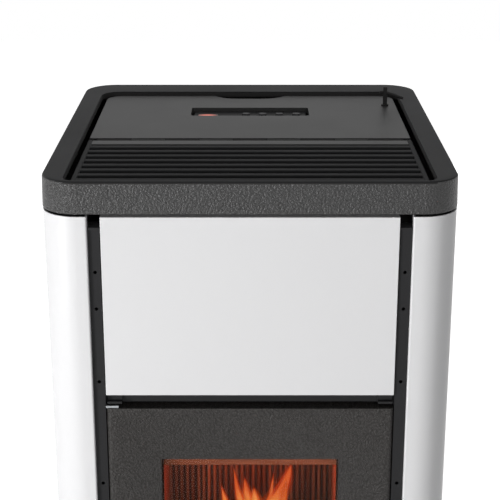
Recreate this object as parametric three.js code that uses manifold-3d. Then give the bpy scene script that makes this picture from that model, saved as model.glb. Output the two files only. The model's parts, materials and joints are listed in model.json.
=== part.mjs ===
// Pellet stove: a freestanding room heater with a top-loading hopper, an auger feed and a
// glazed cast door. Millimetres, +Z up, front towards -Y, standing on z = 0.
import * as THREE from 'three';
import { mergeVertices } from 'three/addons/utils/BufferGeometryUtils.js';
import Module from 'manifold-3d';

const wasm = await Module();
wasm.setup();

// ---------------------------------------------------------------- driving dimensions

// Overall casing
const CASE_WIDTH = 500;
const CASE_DEPTH = 550;
const CASE_HEIGHT = 960;
const CORNER_RADIUS = 45;
const SEAT = 0.3; // clearance between pieces that rest on each other
const RUNNING = 1; // clearance beside a piece that slides or turns
const THROUGH = 1; // how far a cutting tool runs past the face it cuts

// Feet and base
const FOOT_HEIGHT = 20;
const FOOT_RADIUS = 18;
const FOOT_STEM_RADIUS = 12;
const FOOT_STUD_RADIUS = 4;
const FOOT_STUD_ABOVE = 10;
const FOOT_INSET_X = 55;
const FOOT_INSET_Y = 55;
const BASE_PLATE = 4;
const BASE_UPSTAND = 20;
const NUT_ROOM = 12;

// Sheet casing
const PANEL_SHEET = 2;
const PANEL_INSET = 0.5; // side panels stand this far inside the rim's outline
const PANEL_RETURN_INSET = 57; // from the casing's side to the side panels' front edge
const PANEL_EDGE_FOLD = 10;
const SHADOW_GAP = 3; // dark line between the side panels and the rim
const POST_INSET = 71.5; // from the casing's side to the posts' inner face
const POST_WIDTH = 36;
const POST_DEPTH = 32;
const POST_RECESS = 5; // posts stand this far behind the side panels' face
const POST_HOLE_RADIUS = 2.2;
const POST_HOLES_BELOW_RIM = [74, 121, 217, 357];
const POST_HOLE_OFFSET = 7;
const FRONT_RECESS = 2;
const FRONT_TRAY_DEPTH = 12;
const RAIL_LIP = 14;
const RAIL_FOLD = 24;
const CLIP_WIDTH = 18;
const CLIP_SHEET = 3;
const CLIP_REACH = 9;
const CLIP_INSET = 10;

// Heights of the front pieces, from the floor up
const PLINTH_TOP = 92;
const PLINTH_RECESS = 6;
const DRAWER_GAP = 4;
const DRAWER_FRONT_HEIGHT = 166;
const DOOR_GAP = 6;
const DOOR_HEIGHT = 400;
const OVER_DOOR_GAP = 18;
const UPPER_PANEL_BELOW_RIM = 4;

// Top rim, grille and lid
const RIM_HEIGHT = 40;
const RIM_WALL = 8;
const RIM_TOP_THICKNESS = 8;
const RIM_EDGE_RADIUS = 3;
const RIM_DRAFT = 1.5;
const RIM_SIDE_BAND = 29;
const RIM_REAR_BAND = 55;
const RIM_FRONT_BAND = 8;
const RIM_OPENING_FRONT_RADIUS = 14;
const RIM_OPENING_REAR_RADIUS = 26;
const RIM_SKIRT = 5;
const TOP_RECESS = 5; // lid and grille lie this far below the rim's top
const DECK_BELOW_TOP = 57;
const DECK_SHEET = 3;
const WARM_AIR_INSET_X = 54;
const WARM_AIR_INSET_Y = 22;
const GRILLE_GAP_X = 8;
const GRILLE_REAR_FROM_FRONT = 220.5; // casing's front to the rear edge of the grille
const GRILLE_BAR_DEPTH = 22;
const GRILLE_BAR_HEIGHT = 5;
const SLAT_COUNT = 8;
const SLAT_PITCH = 22.3;
const SLAT_DEPTH = 14;
const SLAT_FOOT_DEPTH = 4;
const SLAT_LEAN = 3;
const SLAT_HEIGHT = 16;
const SLAT_EDGE_RADIUS = 2;
const GRILLE_CHEEK = 6;
const GRILLE_SLAT_DROP = 0.6;
const GRILLE_FRONT_BAR = 5;
const GRILLE_FRONT_GAP = 9;
const LID_FRONT_GAP = 8.5;
const LID_REAR_GAP = 6;
const LID_SIDE_GAP = 8.5;
const LID_SHEET = 2;
const LID_SKIRT = 10;
const LID_LIP = 6;
const LID_CORNER_RADIUS = 24;
const LID_NOTCH_HALF = 53;
const LID_NOTCH_DEPTH = 20;
const LID_SLOT_HALF = 84;
const LID_SLOT_DEPTH = 50;
const LID_SLOT_FROM_REAR = 80;
const LID_SLOT_RADIUS = 5;
const HINGE_BEHIND_GRILLE = 5;
const HINGE_BELOW_LID = 4;
const HINGE_ROD_RADIUS = 1.8;
const HINGE_KNUCKLE_RADIUS = 3.4;
const HINGE_KNUCKLES = 9;
const HINGE_END = 10; // bare lid edge beside the last knuckle
const HINGE_LEAF = 2;
const HINGE_FOOT = 10;
const CATCH_FROM_SIDE = 15.5;
const CATCH_FROM_REAR = 66;
const CATCH_STEM_RADIUS = 3.2;
const CATCH_HEIGHT = 28;
const CATCH_ARM_RADIUS = 2.2;
const CATCH_ARM_REACH = 26;
const CATCH_ARM_DROP = 9;
const CATCH_ARM_BELOW_TOP = 8;
const CATCH_STUB_LENGTH = 8;
const CATCH_TONGUE_LENGTH = 29;
const CATCH_TONGUE_HALF_WIDTH = 5;
const CATCH_TONGUE_SHEET = 3;
const CATCH_TONGUE_BELOW_SKIRT = 6;

// Hopper
const MOUTH_INSET_X = 42.5; // inside the lid's edge
const MOUTH_BEHIND_LID_FRONT = 16;
const MOUTH_BEFORE_SLOT = 18;
const COLLAR_BELOW_LID = 10.5;
const HOPPER_SHEET = 2;
const HOPPER_SIDE_ROOM = 50;
const HOPPER_REAR_ROOM = 19;
const HOPPER_STRAIGHT = 15; // upright wall under the deck
const NECK_ALONG_AUGER = 0.4; // where the pellets enter, as a part of the auger's run
const HOPPER_NECK_HALF = 22;
const NECK_OVER_TUBE = 1.6;
const FLANGE_WIDTH = 10;
const GRID_BAR = 3;
const GRID_PITCH = 34;
const GRID_FRAME = 4;
const SEAL_WIDTH = 8;

// Auger feed
const AUGER_REAR_ROOM = 61; // casing's rear to the auger's lower end
const AUGER_SLOPE = 1; // rise over run, 45 degrees
const AUGER_UPPER_BEHIND_FIREBOX = 90;
const AUGER_OVER_CHUTE = 74;
const AUGER_TUBE_RADIUS = 30;
const AUGER_TUBE_WALL = 2;
const AUGER_TUBE_CAP = 5;
const AUGER_SCREW_RADIUS = 26.5;
const AUGER_SHAFT_RADIUS = 8;
const SHAFT_CLEARANCE = 0.4;
const AUGER_PITCH = 38;
const AUGER_FLIGHT = 3;
const AUGER_STEPS_PER_TURN = 10;
const MOTOR_LENGTH = 50;
const MOTOR_RADIUS = 25;
const MOTOR_FLANGE_RADIUS = 29;
const MOTOR_FLANGE_LENGTH = 26;
const MOTOR_CHAMFER = 4;
const MOTOR_SOCKET = 13;
const CHUTE_HALF_WIDTH = 26;
const CHUTE_WALL_OUT = 8;
const CHUTE_SHEET = 2;
const CHUTE_BELOW_TOP = 48; // chute's lower lip below the firebox's top
const CHUTE_HOLE_HEIGHT = 32;
const CHUTE_THROAT = { y: 18, z: 36 }; // corner under the auger's upper end
const CHUTE_BACK = { y: 26, z: 9 }; // corner behind it

// Firebox and burner
const FIREBOX_SIDE_ROOM = 94;
const FIREBOX_BEHIND_DOOR = 2.5;
const FIREBOX_DEPTH = 198;
const FIREBOX_ABOVE_DOOR_FOOT = 2;
const FIREBOX_BELOW_DOOR_TOP = 8;
const FIREBOX_PLATE = 4;
const MOUTH_SIDE = 28;
const MOUTH_SILL = 36;
const ASH_HOLE_SIDE = 46;
const ASH_HOLE_FRONT = 18;
const ASH_HOLE_REAR = 40;
const LINER_BELOW_TOP = 64;
const LINER_THICKNESS = 10;
const LINER_RIB_COUNT = 36;
const CHEEK_BEHIND_WINDOW = 2.7; // from the window's edge out to the face of a side liner
const CHEEK_SHEET = 2;
const LINER_RIB_DEPTH = 4;
const BURN_POT_FROM_FRONT = 104;
const BURN_POT_HALF = 44;
const BURN_POT_TAPER = 8;
const BURN_POT_ABOVE_FLOOR = 150;
const BURN_POT_HEIGHT = 72;
const BURN_POT_WALL = 5;
const BURN_POT_HOLE_RADIUS = 3;
const BURN_POT_HOLE_PITCH = 24;
const SUPPORT_PLATE = 5;
const SUPPORT_WALL = 4;
const SUPPORT_MARGIN = 8;
const SUPPORT_WELL_HALF = 34;
const AIR_SLOT_HALF = 20;
const AIR_SLOT_BOTTOM = 16;
const AIR_SLOT_HEIGHT = 30;
const IGNITER_RADIUS = 6;
const IGNITER_ABOVE_FLOOR = 50;
const IGNITER_FLANGE = 5;

// Door
const DOOR_THICKNESS = 26;
const WINDOW_SIDE = 65.5; // door's edge to the window
const WINDOW_SILL = 70;
const WINDOW_HEAD = 77;
const DOOR_SLOPE_START = 12; // flat margin outside the sloped frame
const DOOR_SLOPE_DEPTH = 14;
const GLASS_THICKNESS = 4;
const GLASS_MARGIN = 12;
const GLASS_RECESS = 1.2;
const GASKET_WIDTH = 10;
const GASKET_GROOVE = 5;
const GASKET_INSET = 14; // from the firebox's outline to the middle of the gasket
const RETAINER_WIDTH = 13;
const RETAINER_SHEET = 1.4;
const RETAINER_LIP = 2;
const HINGE_PIN_RADIUS = 3;
const HINGE_PIN_DEPTH = 12;
const DOOR_HINGE_IN = 7; // hinge line inside the door's left edge
const DOOR_HINGE_BACK = 6; // hinge line behind the door's face
const BRACKET_SHEET = 3;
const BRACKET_SIDE = 8;
const BRACKET_FRONT = 5;
const BRACKET_REAR = 14;
const DOOR_EDGE_RADIUS = 5;
const HANDLE_FROM_EDGE = 12.5;
const HANDLE_ABOVE_DOOR_FOOT = 202;
const HANDLE_REACH = 45; // how far the handle stands in front of the casing
const HANDLE_LENGTH = 118;
const HANDLE_ABOVE_SPINDLE = 12;
const HANDLE_WIDTH = 18;
const HANDLE_THICKNESS = 10;
const ROSETTE_RADIUS = 11;
const ROSETTE_HEIGHT = 7;
const SPINDLE_RADIUS = 5;
const TONGUE_LENGTH = 12;
const TONGUE_HALF_WIDTH = 5;
const TONGUE_THICKNESS = 4;
const TONGUE_GAP = 3.5;
const KEEPER_HALF_HEIGHT = 9;
const KEEPER_DEPTH = 4;

// Ash drawer
const DRAWER_SIDE_ROOM = 8;
const DRAWER_REAR_ROOM = 16;
const DRAWER_ABOVE_FRONT_FOOT = 8;
const DRAWER_BELOW_FIREBOX = 34;
const DRAWER_SHEET = 2;
const STAND_INSET = 4;
const STAND_SHEET = 3;
const RUNNER_WIDTH = 14;
const RUNNER_SHEET = 2;
const GRIP_HALF_WIDTH = 55;
const GRIP_HEIGHT = 16;
const GRIP_RADIUS = 6;

// Smoke path
const TUBE_COUNT = 5;
const TUBE_ROWS = 2;
const TUBE_RADIUS = 17;
const TUBE_WALL = 3;
const TUBE_SIDE_ROOM = 36;
const TUBE_PITCH_Y = 64;
const EXCHANGER_FROM_FRONT = 92;
const EXCHANGER_INSET = 4;
const EXCHANGER_HALF_DEPTH = 70;
const EXCHANGER_PLATE = 5;
const HEADER_BELOW_DECK = 20;
const HEADER_HEIGHT = 44;
const HEADER_WALL = 3;
const ELBOW_HALF = 20;
const ELBOW_MARGIN = 4;
const DUCT_SIDE_ROOM = 46;
const DUCT_HALF = 26;
const DUCT_SHEET = 3;
const DUCT_BELOW_HEADER_TOP = 2;
const FLUE_SIDE_ROOM = 130;
const FLUE_Z = 200;
const FLUE_RADIUS = 40;
const FLUE_WALL = 2;
const FLUE_FLANGE = 8;
const FLUE_REACH = 45; // how far the flue spigot stands behind the casing
const FLUE_FAN_RADIUS = 62;
const FLUE_FAN_REAR_ROOM = 99;
const FLUE_FAN_DEPTH = 60;
const FLUE_FAN_WALL = 3;
const FLUE_INTAKE_RADIUS = 22;
const FLUE_WHEEL_RADIUS = 52;
const FLUE_WHEEL_DEPTH = 26;
const FLUE_WHEEL_SETBACK = 16;
const FAN_HUB_RADIUS = 9;
const FAN_LEG_WIDTH = 12;
const FAN_LEG_OFFSET = 30;
const BEARING_RADIUS = 7;
const BEARING_LENGTH = 8;
const BEARING_BAR = 6;
const FAN_SHAFT_RADIUS = 3.5;
const FAN_BLADES = 10;
const BLADE_SHEET = 2;

// Air paths, electrics
const AIR_INLET_FROM_SIDE = 46; // inside the firebox's left wall
const AIR_INLET_ABOVE_FLOOR = 48;
const AIR_INLET_RADIUS = 25;
const AIR_INLET_WALL = 2;
const AIR_INLET_REACH = 30;
const ROOM_FAN_SIDE_ROOM = 154;
const ROOM_FAN_REAR_ROOM = 105;
const ROOM_FAN_Z = 108;
const ROOM_FAN_RADIUS = 34;
const ROOM_FAN_CLEARANCE = 8;
const ROOM_FAN_LENGTH = 180;
const ROOM_FAN_RISER = 26;
const ROOM_FAN_BLADES = 10;
const FAN_SHEET = 2;
const BOARD_REAR_ROOM = 185;
const BOARD_Z = 620;
const BOARD_SIZE = { x: 22, y: 150, z: 200 };
const BOARD_EAR = { x: 3, y: 12, z: 80 };
const POWER_FROM_FOLD = 43;
const POWER_Z = 66;
const POWER_HALF = { x: 14, z: 10 };
const POWER_DEPTH = 24;
const POWER_RIM = 4;
const POWER_WALL = 2;
const SWITCH_FROM_POWER = 31;
const SWITCH_HALF = { x: 10.7, z: 7.2 };
const SWITCH_WALL = 1.7;
const SWITCH_GAP = 0.5;
const SWITCH_DEPTH = 16;
const SWITCH_PIN_RADIUS = 1.5;
const SWITCH_PIN_DEPTH = 6;
const REAR_FOLD = 14;
const LOUVRE_COUNT = 6;
const LOUVRE_PITCH = 18;
const LOUVRE_HEIGHT = 5;
const LOUVRE_HALF_WIDTH = 90;
const LOUVRE_BOTTOM = 380;
const FAN_LOUVRE_PITCH = 9;
const FAN_LOUVRE_HEIGHT = 4;
const FAN_LOUVRE_HALF_WIDTH = 75;
const FAN_LOUVRE_BOTTOM = 62;

// Controls
const CONTROL_DEPTH = 46;
const CONTROL_BELOW_LID = 4;
const CONTROL_IN_SLOT = 4;
const CONTROL_WALL = 3;
const CONTROL_FOOT = 10;
const BUTTON_COUNT = 4;
const BUTTON_RADIUS = 6;
const BUTTON_PITCH = 24;
const BUTTON_FIRST_X = -6;
const BUTTON_HEIGHT = 3.6;
const BUTTON_BORE_DEPTH = 8;
const BUTTON_TRAVEL = 1.2;
const DISPLAY_X = -60;
const DISPLAY_HALF = { x: 14, y: 8 };
const DISPLAY_RECESS = 4;
const DISPLAY_PROUD = 0.6;

// ---------------------------------------------------------------- derived places

// Casing
const HALF_WIDTH = CASE_WIDTH / 2;
const FRONT_Y = -CASE_DEPTH / 2;
const REAR_Y = CASE_DEPTH / 2;
const RIM_BOTTOM = CASE_HEIGHT - RIM_HEIGHT;
const BASE_TOP = FOOT_HEIGHT + BASE_PLATE;
const PANEL_BOTTOM = BASE_TOP;
const PANEL_TOP = RIM_BOTTOM - SHADOW_GAP;
const PANEL_FACE_Y = FRONT_Y + PANEL_INSET;
const PANEL_OUTER_X = HALF_WIDTH - PANEL_INSET;
const PANEL_RETURN_X = HALF_WIDTH - PANEL_RETURN_INSET;
const INSIDE_X = PANEL_OUTER_X - PANEL_SHEET - SEAT; // half-width left inside the side panels
const POST_INNER_X = HALF_WIDTH - POST_INSET;
const POST_FACE_Y = PANEL_FACE_Y + POST_RECESS;
const DECK_TOP = CASE_HEIGHT - DECK_BELOW_TOP;
const DECK_BOTTOM = DECK_TOP - DECK_SHEET;

// Front pieces
const FRONT_HALF_WIDTH = POST_INNER_X - RUNNING; // upper panel, door and drawer front
const FRONT_FACE_Y = PANEL_FACE_Y + FRONT_RECESS;
const TRAY_BACK_Y = FRONT_FACE_Y + FRONT_TRAY_DEPTH + SEAT;
const DRAWER_FRONT_BOTTOM = PLINTH_TOP + DRAWER_GAP;
const DRAWER_FRONT_TOP = DRAWER_FRONT_BOTTOM + DRAWER_FRONT_HEIGHT;
const DOOR_BOTTOM = DRAWER_FRONT_TOP + DOOR_GAP;
const DOOR_TOP = DOOR_BOTTOM + DOOR_HEIGHT;
const DOOR_BACK_Y = FRONT_FACE_Y + DOOR_THICKNESS;
const UPPER_PANEL_BOTTOM = DOOR_TOP + OVER_DOOR_GAP;
const UPPER_PANEL_TOP = RIM_BOTTOM - UPPER_PANEL_BELOW_RIM;
const WINDOW_HALF_WIDTH = FRONT_HALF_WIDTH - WINDOW_SIDE;
const WINDOW_BOTTOM = DOOR_BOTTOM + WINDOW_SILL;
const WINDOW_TOP = DOOR_TOP - WINDOW_HEAD;
const HANDLE_X = FRONT_HALF_WIDTH - HANDLE_FROM_EDGE;
const HANDLE_Z = DOOR_BOTTOM + HANDLE_ABOVE_DOOR_FOOT;

// Top
const LID_TOP = CASE_HEIGHT - TOP_RECESS;
const LID_PLATE_BOTTOM = LID_TOP - LID_SHEET;
const RIM_OPENING_X = HALF_WIDTH - RIM_SIDE_BAND;
const RIM_OPENING_FRONT_Y = FRONT_Y + RIM_FRONT_BAND;
const RIM_OPENING_REAR_Y = REAR_Y - RIM_REAR_BAND;
const GRILLE_REAR_Y = FRONT_Y + GRILLE_REAR_FROM_FRONT;
const LID_HALF_WIDTH = RIM_OPENING_X - LID_SIDE_GAP;
const LID_FRONT_Y = GRILLE_REAR_Y + LID_FRONT_GAP;
const LID_REAR_Y = RIM_OPENING_REAR_Y - LID_REAR_GAP;
const LID_SLOT_REAR_Y = LID_REAR_Y - LID_SLOT_FROM_REAR;
const LID_SLOT_FRONT_Y = LID_SLOT_REAR_Y - LID_SLOT_DEPTH;
const HINGE_Y = GRILLE_REAR_Y + HINGE_BEHIND_GRILLE;
const HINGE_Z = LID_TOP - HINGE_BELOW_LID;
const CATCH_X = LID_HALF_WIDTH - CATCH_FROM_SIDE;
const CATCH_Y = LID_REAR_Y - CATCH_FROM_REAR;
const CONTROL_HALF_WIDTH = LID_SLOT_HALF - CONTROL_IN_SLOT;

// Firebox and what stands round it
const FIREBOX_HALF_WIDTH = HALF_WIDTH - FIREBOX_SIDE_ROOM;
const FIREBOX_FRONT_Y = DOOR_BACK_Y + FIREBOX_BEHIND_DOOR;
const FIREBOX_REAR_Y = FIREBOX_FRONT_Y + FIREBOX_DEPTH;
const FIREBOX_BOTTOM = DOOR_BOTTOM + FIREBOX_ABOVE_DOOR_FOOT;
const FIREBOX_TOP = DOOR_TOP - FIREBOX_BELOW_DOOR_TOP;
const FIREBOX_FLOOR = FIREBOX_BOTTOM + FIREBOX_PLATE;
const FIREBOX_MOUTH_HALF = FIREBOX_HALF_WIDTH - MOUTH_SIDE;
const FIREBOX_MOUTH_BOTTOM = FIREBOX_BOTTOM + MOUTH_SILL;
const FIREBOX_MOUTH_TOP = FIREBOX_TOP - MOUTH_SIDE;
const ASH_HOLE_HALF_WIDTH = FIREBOX_HALF_WIDTH - ASH_HOLE_SIDE;
const ASH_HOLE_FRONT_Y = FIREBOX_FRONT_Y + ASH_HOLE_FRONT;
const ASH_HOLE_REAR_Y = FIREBOX_REAR_Y - ASH_HOLE_REAR;
const LINER_TOP = FIREBOX_TOP - LINER_BELOW_TOP;
const BURN_POT_Y = FIREBOX_FRONT_Y + BURN_POT_FROM_FRONT;
const BURN_POT_TOP = FIREBOX_FLOOR + BURN_POT_ABOVE_FLOOR;
const IGNITER_Z = FIREBOX_FLOOR + IGNITER_ABOVE_FLOOR;
const AIR_INLET_X = -FIREBOX_HALF_WIDTH + AIR_INLET_FROM_SIDE;
const AIR_INLET_Z = FIREBOX_BOTTOM + AIR_INLET_ABOVE_FLOOR;
const CHUTE_DROP_Z = FIREBOX_TOP - CHUTE_BELOW_TOP;
const STAND_X = FIREBOX_HALF_WIDTH - STAND_INSET; // inner face of the stands beside the drawer
const DRAWER_HALF_WIDTH = STAND_X - DRAWER_SIDE_ROOM;
const DRAWER_REAR_Y = FIREBOX_REAR_Y - DRAWER_REAR_ROOM;
const DRAWER_BOTTOM = DRAWER_FRONT_BOTTOM + DRAWER_ABOVE_FRONT_FOOT;
const DRAWER_TOP = FIREBOX_BOTTOM - DRAWER_BELOW_FIREBOX;

// Feed
const MOUTH_HALF_WIDTH = LID_HALF_WIDTH - MOUTH_INSET_X;
const MOUTH_FRONT_Y = LID_FRONT_Y + MOUTH_BEHIND_LID_FRONT;
const MOUTH_REAR_Y = LID_SLOT_FRONT_Y - MOUTH_BEFORE_SLOT;
const MOUTH_COLLAR_TOP = LID_TOP - COLLAR_BELOW_LID;
const HOPPER_HALF_WIDTH = HALF_WIDTH - HOPPER_SIDE_ROOM;
const HOPPER_REAR_Y = REAR_Y - HOPPER_REAR_ROOM;
const HOPPER_SLOPE_TOP = DECK_BOTTOM - HOPPER_STRAIGHT;
const AUGER_UPPER = { y: FIREBOX_REAR_Y + AUGER_UPPER_BEHIND_FIREBOX, z: CHUTE_DROP_Z + AUGER_OVER_CHUTE };
const AUGER_RUN = REAR_Y - AUGER_REAR_ROOM - AUGER_UPPER.y;
const AUGER_RISE = AUGER_RUN * AUGER_SLOPE;
const AUGER_LOWER = { y: AUGER_UPPER.y + AUGER_RUN, z: AUGER_UPPER.z - AUGER_RISE };
const AUGER_LENGTH = Math.hypot(AUGER_RUN, AUGER_RISE);
const HOPPER_NECK_Y = AUGER_LOWER.y - NECK_ALONG_AUGER * AUGER_RUN;
const NECK_AXIS_Z = AUGER_LOWER.z + NECK_ALONG_AUGER * AUGER_RISE;
const HOPPER_NECK_TOP = NECK_AXIS_Z + (AUGER_TUBE_RADIUS * AUGER_LENGTH) / AUGER_RUN + NECK_OVER_TUBE;

// Smoke, air and electrics
const EXCHANGER_Y = FIREBOX_FRONT_Y + EXCHANGER_FROM_FRONT;
const EXCHANGER_HALF_WIDTH = FIREBOX_HALF_WIDTH - EXCHANGER_INSET;
const TUBE_PITCH_X = (2 * (EXCHANGER_HALF_WIDTH - TUBE_SIDE_ROOM)) / (TUBE_COUNT - 1);
const HEADER_TOP = DECK_BOTTOM - HEADER_BELOW_DECK;
const HEADER_BOTTOM = HEADER_TOP - HEADER_HEIGHT;
const DUCT_X = HALF_WIDTH - DUCT_SIDE_ROOM;
const FLUE_X = HALF_WIDTH - FLUE_SIDE_ROOM;
const FLUE_FAN_FRONT_Y = REAR_Y - FLUE_FAN_REAR_ROOM;
const ROOM_FAN_X = -HALF_WIDTH + ROOM_FAN_SIDE_ROOM;
const ROOM_FAN_Y = REAR_Y - ROOM_FAN_REAR_ROOM;
const BOARD_Y = REAR_Y - BOARD_REAR_ROOM;
const POWER_X = PANEL_RETURN_X - POWER_FROM_FOLD;
const SWITCH_X = POWER_X - SWITCH_FROM_POWER;
const ASSEMBLY_SHIFT_Y = (HANDLE_REACH - FLUE_REACH) / 2; // centres handle and flue spigot

// ---------------------------------------------------------------- materials

function finish(color, roughness, metalness = 0) {
  return new THREE.MeshStandardMaterial({ color, roughness, metalness });
}

const finishes = {
  whiteEnamel: finish('#dfdfe0', 0.35),
  castIron: finish('#454343', 0.72, 0.3),
  darkPaint: finish('#3c3c3d', 0.6, 0.2),
  lidPaint: finish('#4c4c4d', 0.55, 0.2),
  zincSteel: finish('#8d9092', 0.45, 0.8),
  darkSteel: finish('#2e2d2c', 0.65, 0.6),
  linerSteel: finish('#7a5a45', 0.7, 0.3),
  ceramicGlass: finish('#20120a', 0.05),
  fibre: finish('#77726a', 0.95),
  rubber: finish('#1c1c1c', 0.85),
  plastic: finish('#19191a', 0.5),
  redLens: finish('#7d1409', 0.2),
  keyPlastic: finish('#55575a', 0.5),
  copper: finish('#9a6a3c', 0.4, 0.8),
};

// ---------------------------------------------------------------- solid helpers

function toSolid(geometry) {
  const bare = geometry.clone();
  bare.deleteAttribute('normal');
  bare.deleteAttribute('uv');
  const merged = mergeVertices(bare, 1e-4);
  return new wasm.Manifold(new wasm.Mesh({
    numProp: 3,
    vertProperties: new Float32Array(merged.attributes.position.array),
    triVerts: new Uint32Array(merged.index.array),
  }));
}

// The same solid moved, turned or mirrored by a matrix.
function transformed(solid, matrix) {
  const mesh = solid.getMesh();
  const positions = new THREE.BufferAttribute(new Float32Array(mesh.vertProperties), 3);
  positions.applyMatrix4(matrix);
  const corners = new Uint32Array(mesh.triVerts);
  if (matrix.determinant() < 0) {
    for (let i = 0; i < corners.length; i += 3) {
      [corners[i], corners[i + 1]] = [corners[i + 1], corners[i]];
    }
  }
  return new wasm.Manifold(new wasm.Mesh({ numProp: 3, vertProperties: positions.array, triVerts: corners }));
}

function shift(solid, x, y, z) {
  return transformed(solid, new THREE.Matrix4().makeTranslation(x, y, z));
}

function mirrorX(solid) {
  return transformed(solid, new THREE.Matrix4().makeScale(-1, 1, 1));
}

function toGeometry(solid) {
  const mesh = solid.getMesh();
  const geometry = new THREE.BufferGeometry();
  geometry.setAttribute('position', new THREE.BufferAttribute(mesh.vertProperties, 3));
  geometry.setIndex(new THREE.BufferAttribute(mesh.triVerts, 1));
  geometry.computeVertexNormals();
  return geometry;
}

function join(...solids) {
  return solids.reduce((whole, next) => whole.add(next));
}

function cut(solid, ...tools) {
  return tools.reduce((rest, tool) => rest.subtract(tool), solid);
}

function box(x0, x1, y0, y1, z0, z1) {
  const geometry = new THREE.BoxGeometry(x1 - x0, y1 - y0, z1 - z0);
  geometry.translate((x0 + x1) / 2, (y0 + y1) / 2, (z0 + z1) / 2);
  return toSolid(geometry);
}

// A plan outline (x, y) raised from z0 to z1.
function raise(shape, z0, z1, curveSegments = 3) {
  const geometry = new THREE.ExtrudeGeometry(shape, { depth: z1 - z0, bevelEnabled: false, curveSegments });
  geometry.translate(0, 0, z0);
  return toSolid(geometry);
}

// A front outline (x, z) pulled from y0 back to y1.
function pull(shape, y0, y1, curveSegments = 3) {
  const geometry = new THREE.ExtrudeGeometry(shape, { depth: y1 - y0, bevelEnabled: false, curveSegments });
  geometry.rotateX(Math.PI / 2);
  geometry.translate(0, y1, 0);
  return toSolid(geometry);
}

// A side outline (y, z) drawn from x0 to x1.
function draw(shape, x0, x1, curveSegments = 3) {
  const geometry = new THREE.ExtrudeGeometry(shape, { depth: x1 - x0, bevelEnabled: false, curveSegments });
  geometry.rotateX(Math.PI / 2);
  geometry.rotateZ(Math.PI / 2);
  geometry.translate(x0, 0, 0);
  return toSolid(geometry);
}

// A turned profile of [radius, height] pairs about +Z.
function turn(profile, segments = 16) {
  const points = profile.map(([radius, height]) => new THREE.Vector2(radius, height));
  const geometry = new THREE.LatheGeometry(points, segments);
  geometry.rotateX(Math.PI / 2);
  return toSolid(geometry);
}

function rod(radius, z0, z1, segments = 12) {
  return turn([[0, z0], [radius, z0], [radius, z1], [0, z1]], segments);
}

function rodAlongY(radius, x, z, y0, y1, segments = 12) {
  const turned = new THREE.Matrix4().makeRotationX(Math.PI / 2).setPosition(x, 0, z);
  return transformed(rod(radius, -y1, -y0, segments), turned);
}

function rodAlongX(radius, y, z, x0, x1, segments = 12) {
  const turned = new THREE.Matrix4().makeRotationY(Math.PI / 2).setPosition(0, y, z);
  return transformed(rod(radius, x0, x1, segments), turned);
}

function polygon(points) {
  return new THREE.Shape(points.map(([u, v]) => new THREE.Vector2(u, v)));
}

function roundedRectangle(x0, x1, y0, y1, frontRadius, rearRadius = frontRadius) {
  const shape = new THREE.Shape();
  shape.moveTo(x0 + frontRadius, y0);
  shape.lineTo(x1 - frontRadius, y0);
  shape.absarc(x1 - frontRadius, y0 + frontRadius, frontRadius, -Math.PI / 2, 0, false);
  shape.absarc(x1 - rearRadius, y1 - rearRadius, rearRadius, 0, Math.PI / 2, false);
  shape.absarc(x0 + rearRadius, y1 - rearRadius, rearRadius, Math.PI / 2, Math.PI, false);
  shape.absarc(x0 + frontRadius, y0 + frontRadius, frontRadius, Math.PI, 1.5 * Math.PI, false);
  return shape;
}

// Outline of a folded sheet: the path is its outer face, the sheet lies to the left of it.
function sheetSection(path, thickness) {
  const outer = path.getPoints(8).filter((point, i, all) => i === 0 || point.distanceTo(all[i - 1]) > 1e-3);
  const inner = outer.map((point, i) => {
    const before = outer[Math.max(i - 1, 0)];
    const after = outer[Math.min(i + 1, outer.length - 1)];
    const into = i === 0 ? after.clone().sub(point) : point.clone().sub(before);
    const out = i === outer.length - 1 ? into : after.clone().sub(point);
    const a = new THREE.Vector2(-into.y, into.x).normalize();
    const b = new THREE.Vector2(-out.y, out.x).normalize();
    const mitre = a.clone().add(b).normalize();
    return point.clone().addScaledVector(mitre, thickness / mitre.dot(a));
  });
  return new THREE.Shape([...outer, ...inner.reverse()]);
}

// A closed solid between two rectangles {x0, x1, y0, y1} at two heights.
function frustum(low, z0, high, z1) {
  const corners = [[low, z0], [high, z1]].flatMap(([r, z]) => [
    r.x0, r.y0, z, r.x1, r.y0, z, r.x1, r.y1, z, r.x0, r.y1, z,
  ]);
  const faces = [0, 2, 1, 0, 3, 2, 4, 5, 6, 4, 6, 7];
  for (let i = 0; i < 4; i += 1) {
    const next = (i + 1) % 4;
    faces.push(i, next, next + 4, i, next + 4, i + 4);
  }
  const geometry = new THREE.BufferGeometry();
  geometry.setAttribute('position', new THREE.Float32BufferAttribute(corners, 3));
  geometry.setIndex(faces);
  return toSolid(geometry);
}

const assembly = new THREE.Group();
assembly.position.y = ASSEMBLY_SHIFT_Y;

function place(name, solid, material) {
  const mesh = new THREE.Mesh(toGeometry(solid), material);
  mesh.name = name;
  assembly.add(mesh);
}

// ---------------------------------------------------------------- feet, base and posts

function makeFeet() {
  const x = HALF_WIDTH - FOOT_INSET_X;
  const y = REAR_Y - FOOT_INSET_Y;
  const foot = turn([
    [0, 0], [FOOT_RADIUS, 0], [FOOT_RADIUS, FOOT_HEIGHT / 4], [FOOT_STEM_RADIUS, FOOT_HEIGHT / 2],
    [FOOT_STEM_RADIUS, FOOT_HEIGHT - SEAT], [FOOT_STUD_RADIUS, FOOT_HEIGHT - SEAT],
    [FOOT_STUD_RADIUS, BASE_TOP + FOOT_STUD_ABOVE], [0, BASE_TOP + FOOT_STUD_ABOVE],
  ], 12);
  for (const [name, sx, sy] of [['front_left', -1, -1], ['front_right', 1, -1], ['rear_left', -1, 1],
    ['rear_right', 1, 1]]) {
    place(`foot_${name}`, shift(foot, sx * x, sy * y, 0), finishes.rubber);
  }
  return [[-x, -y], [x, -y], [-x, y], [x, y]];
}

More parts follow.
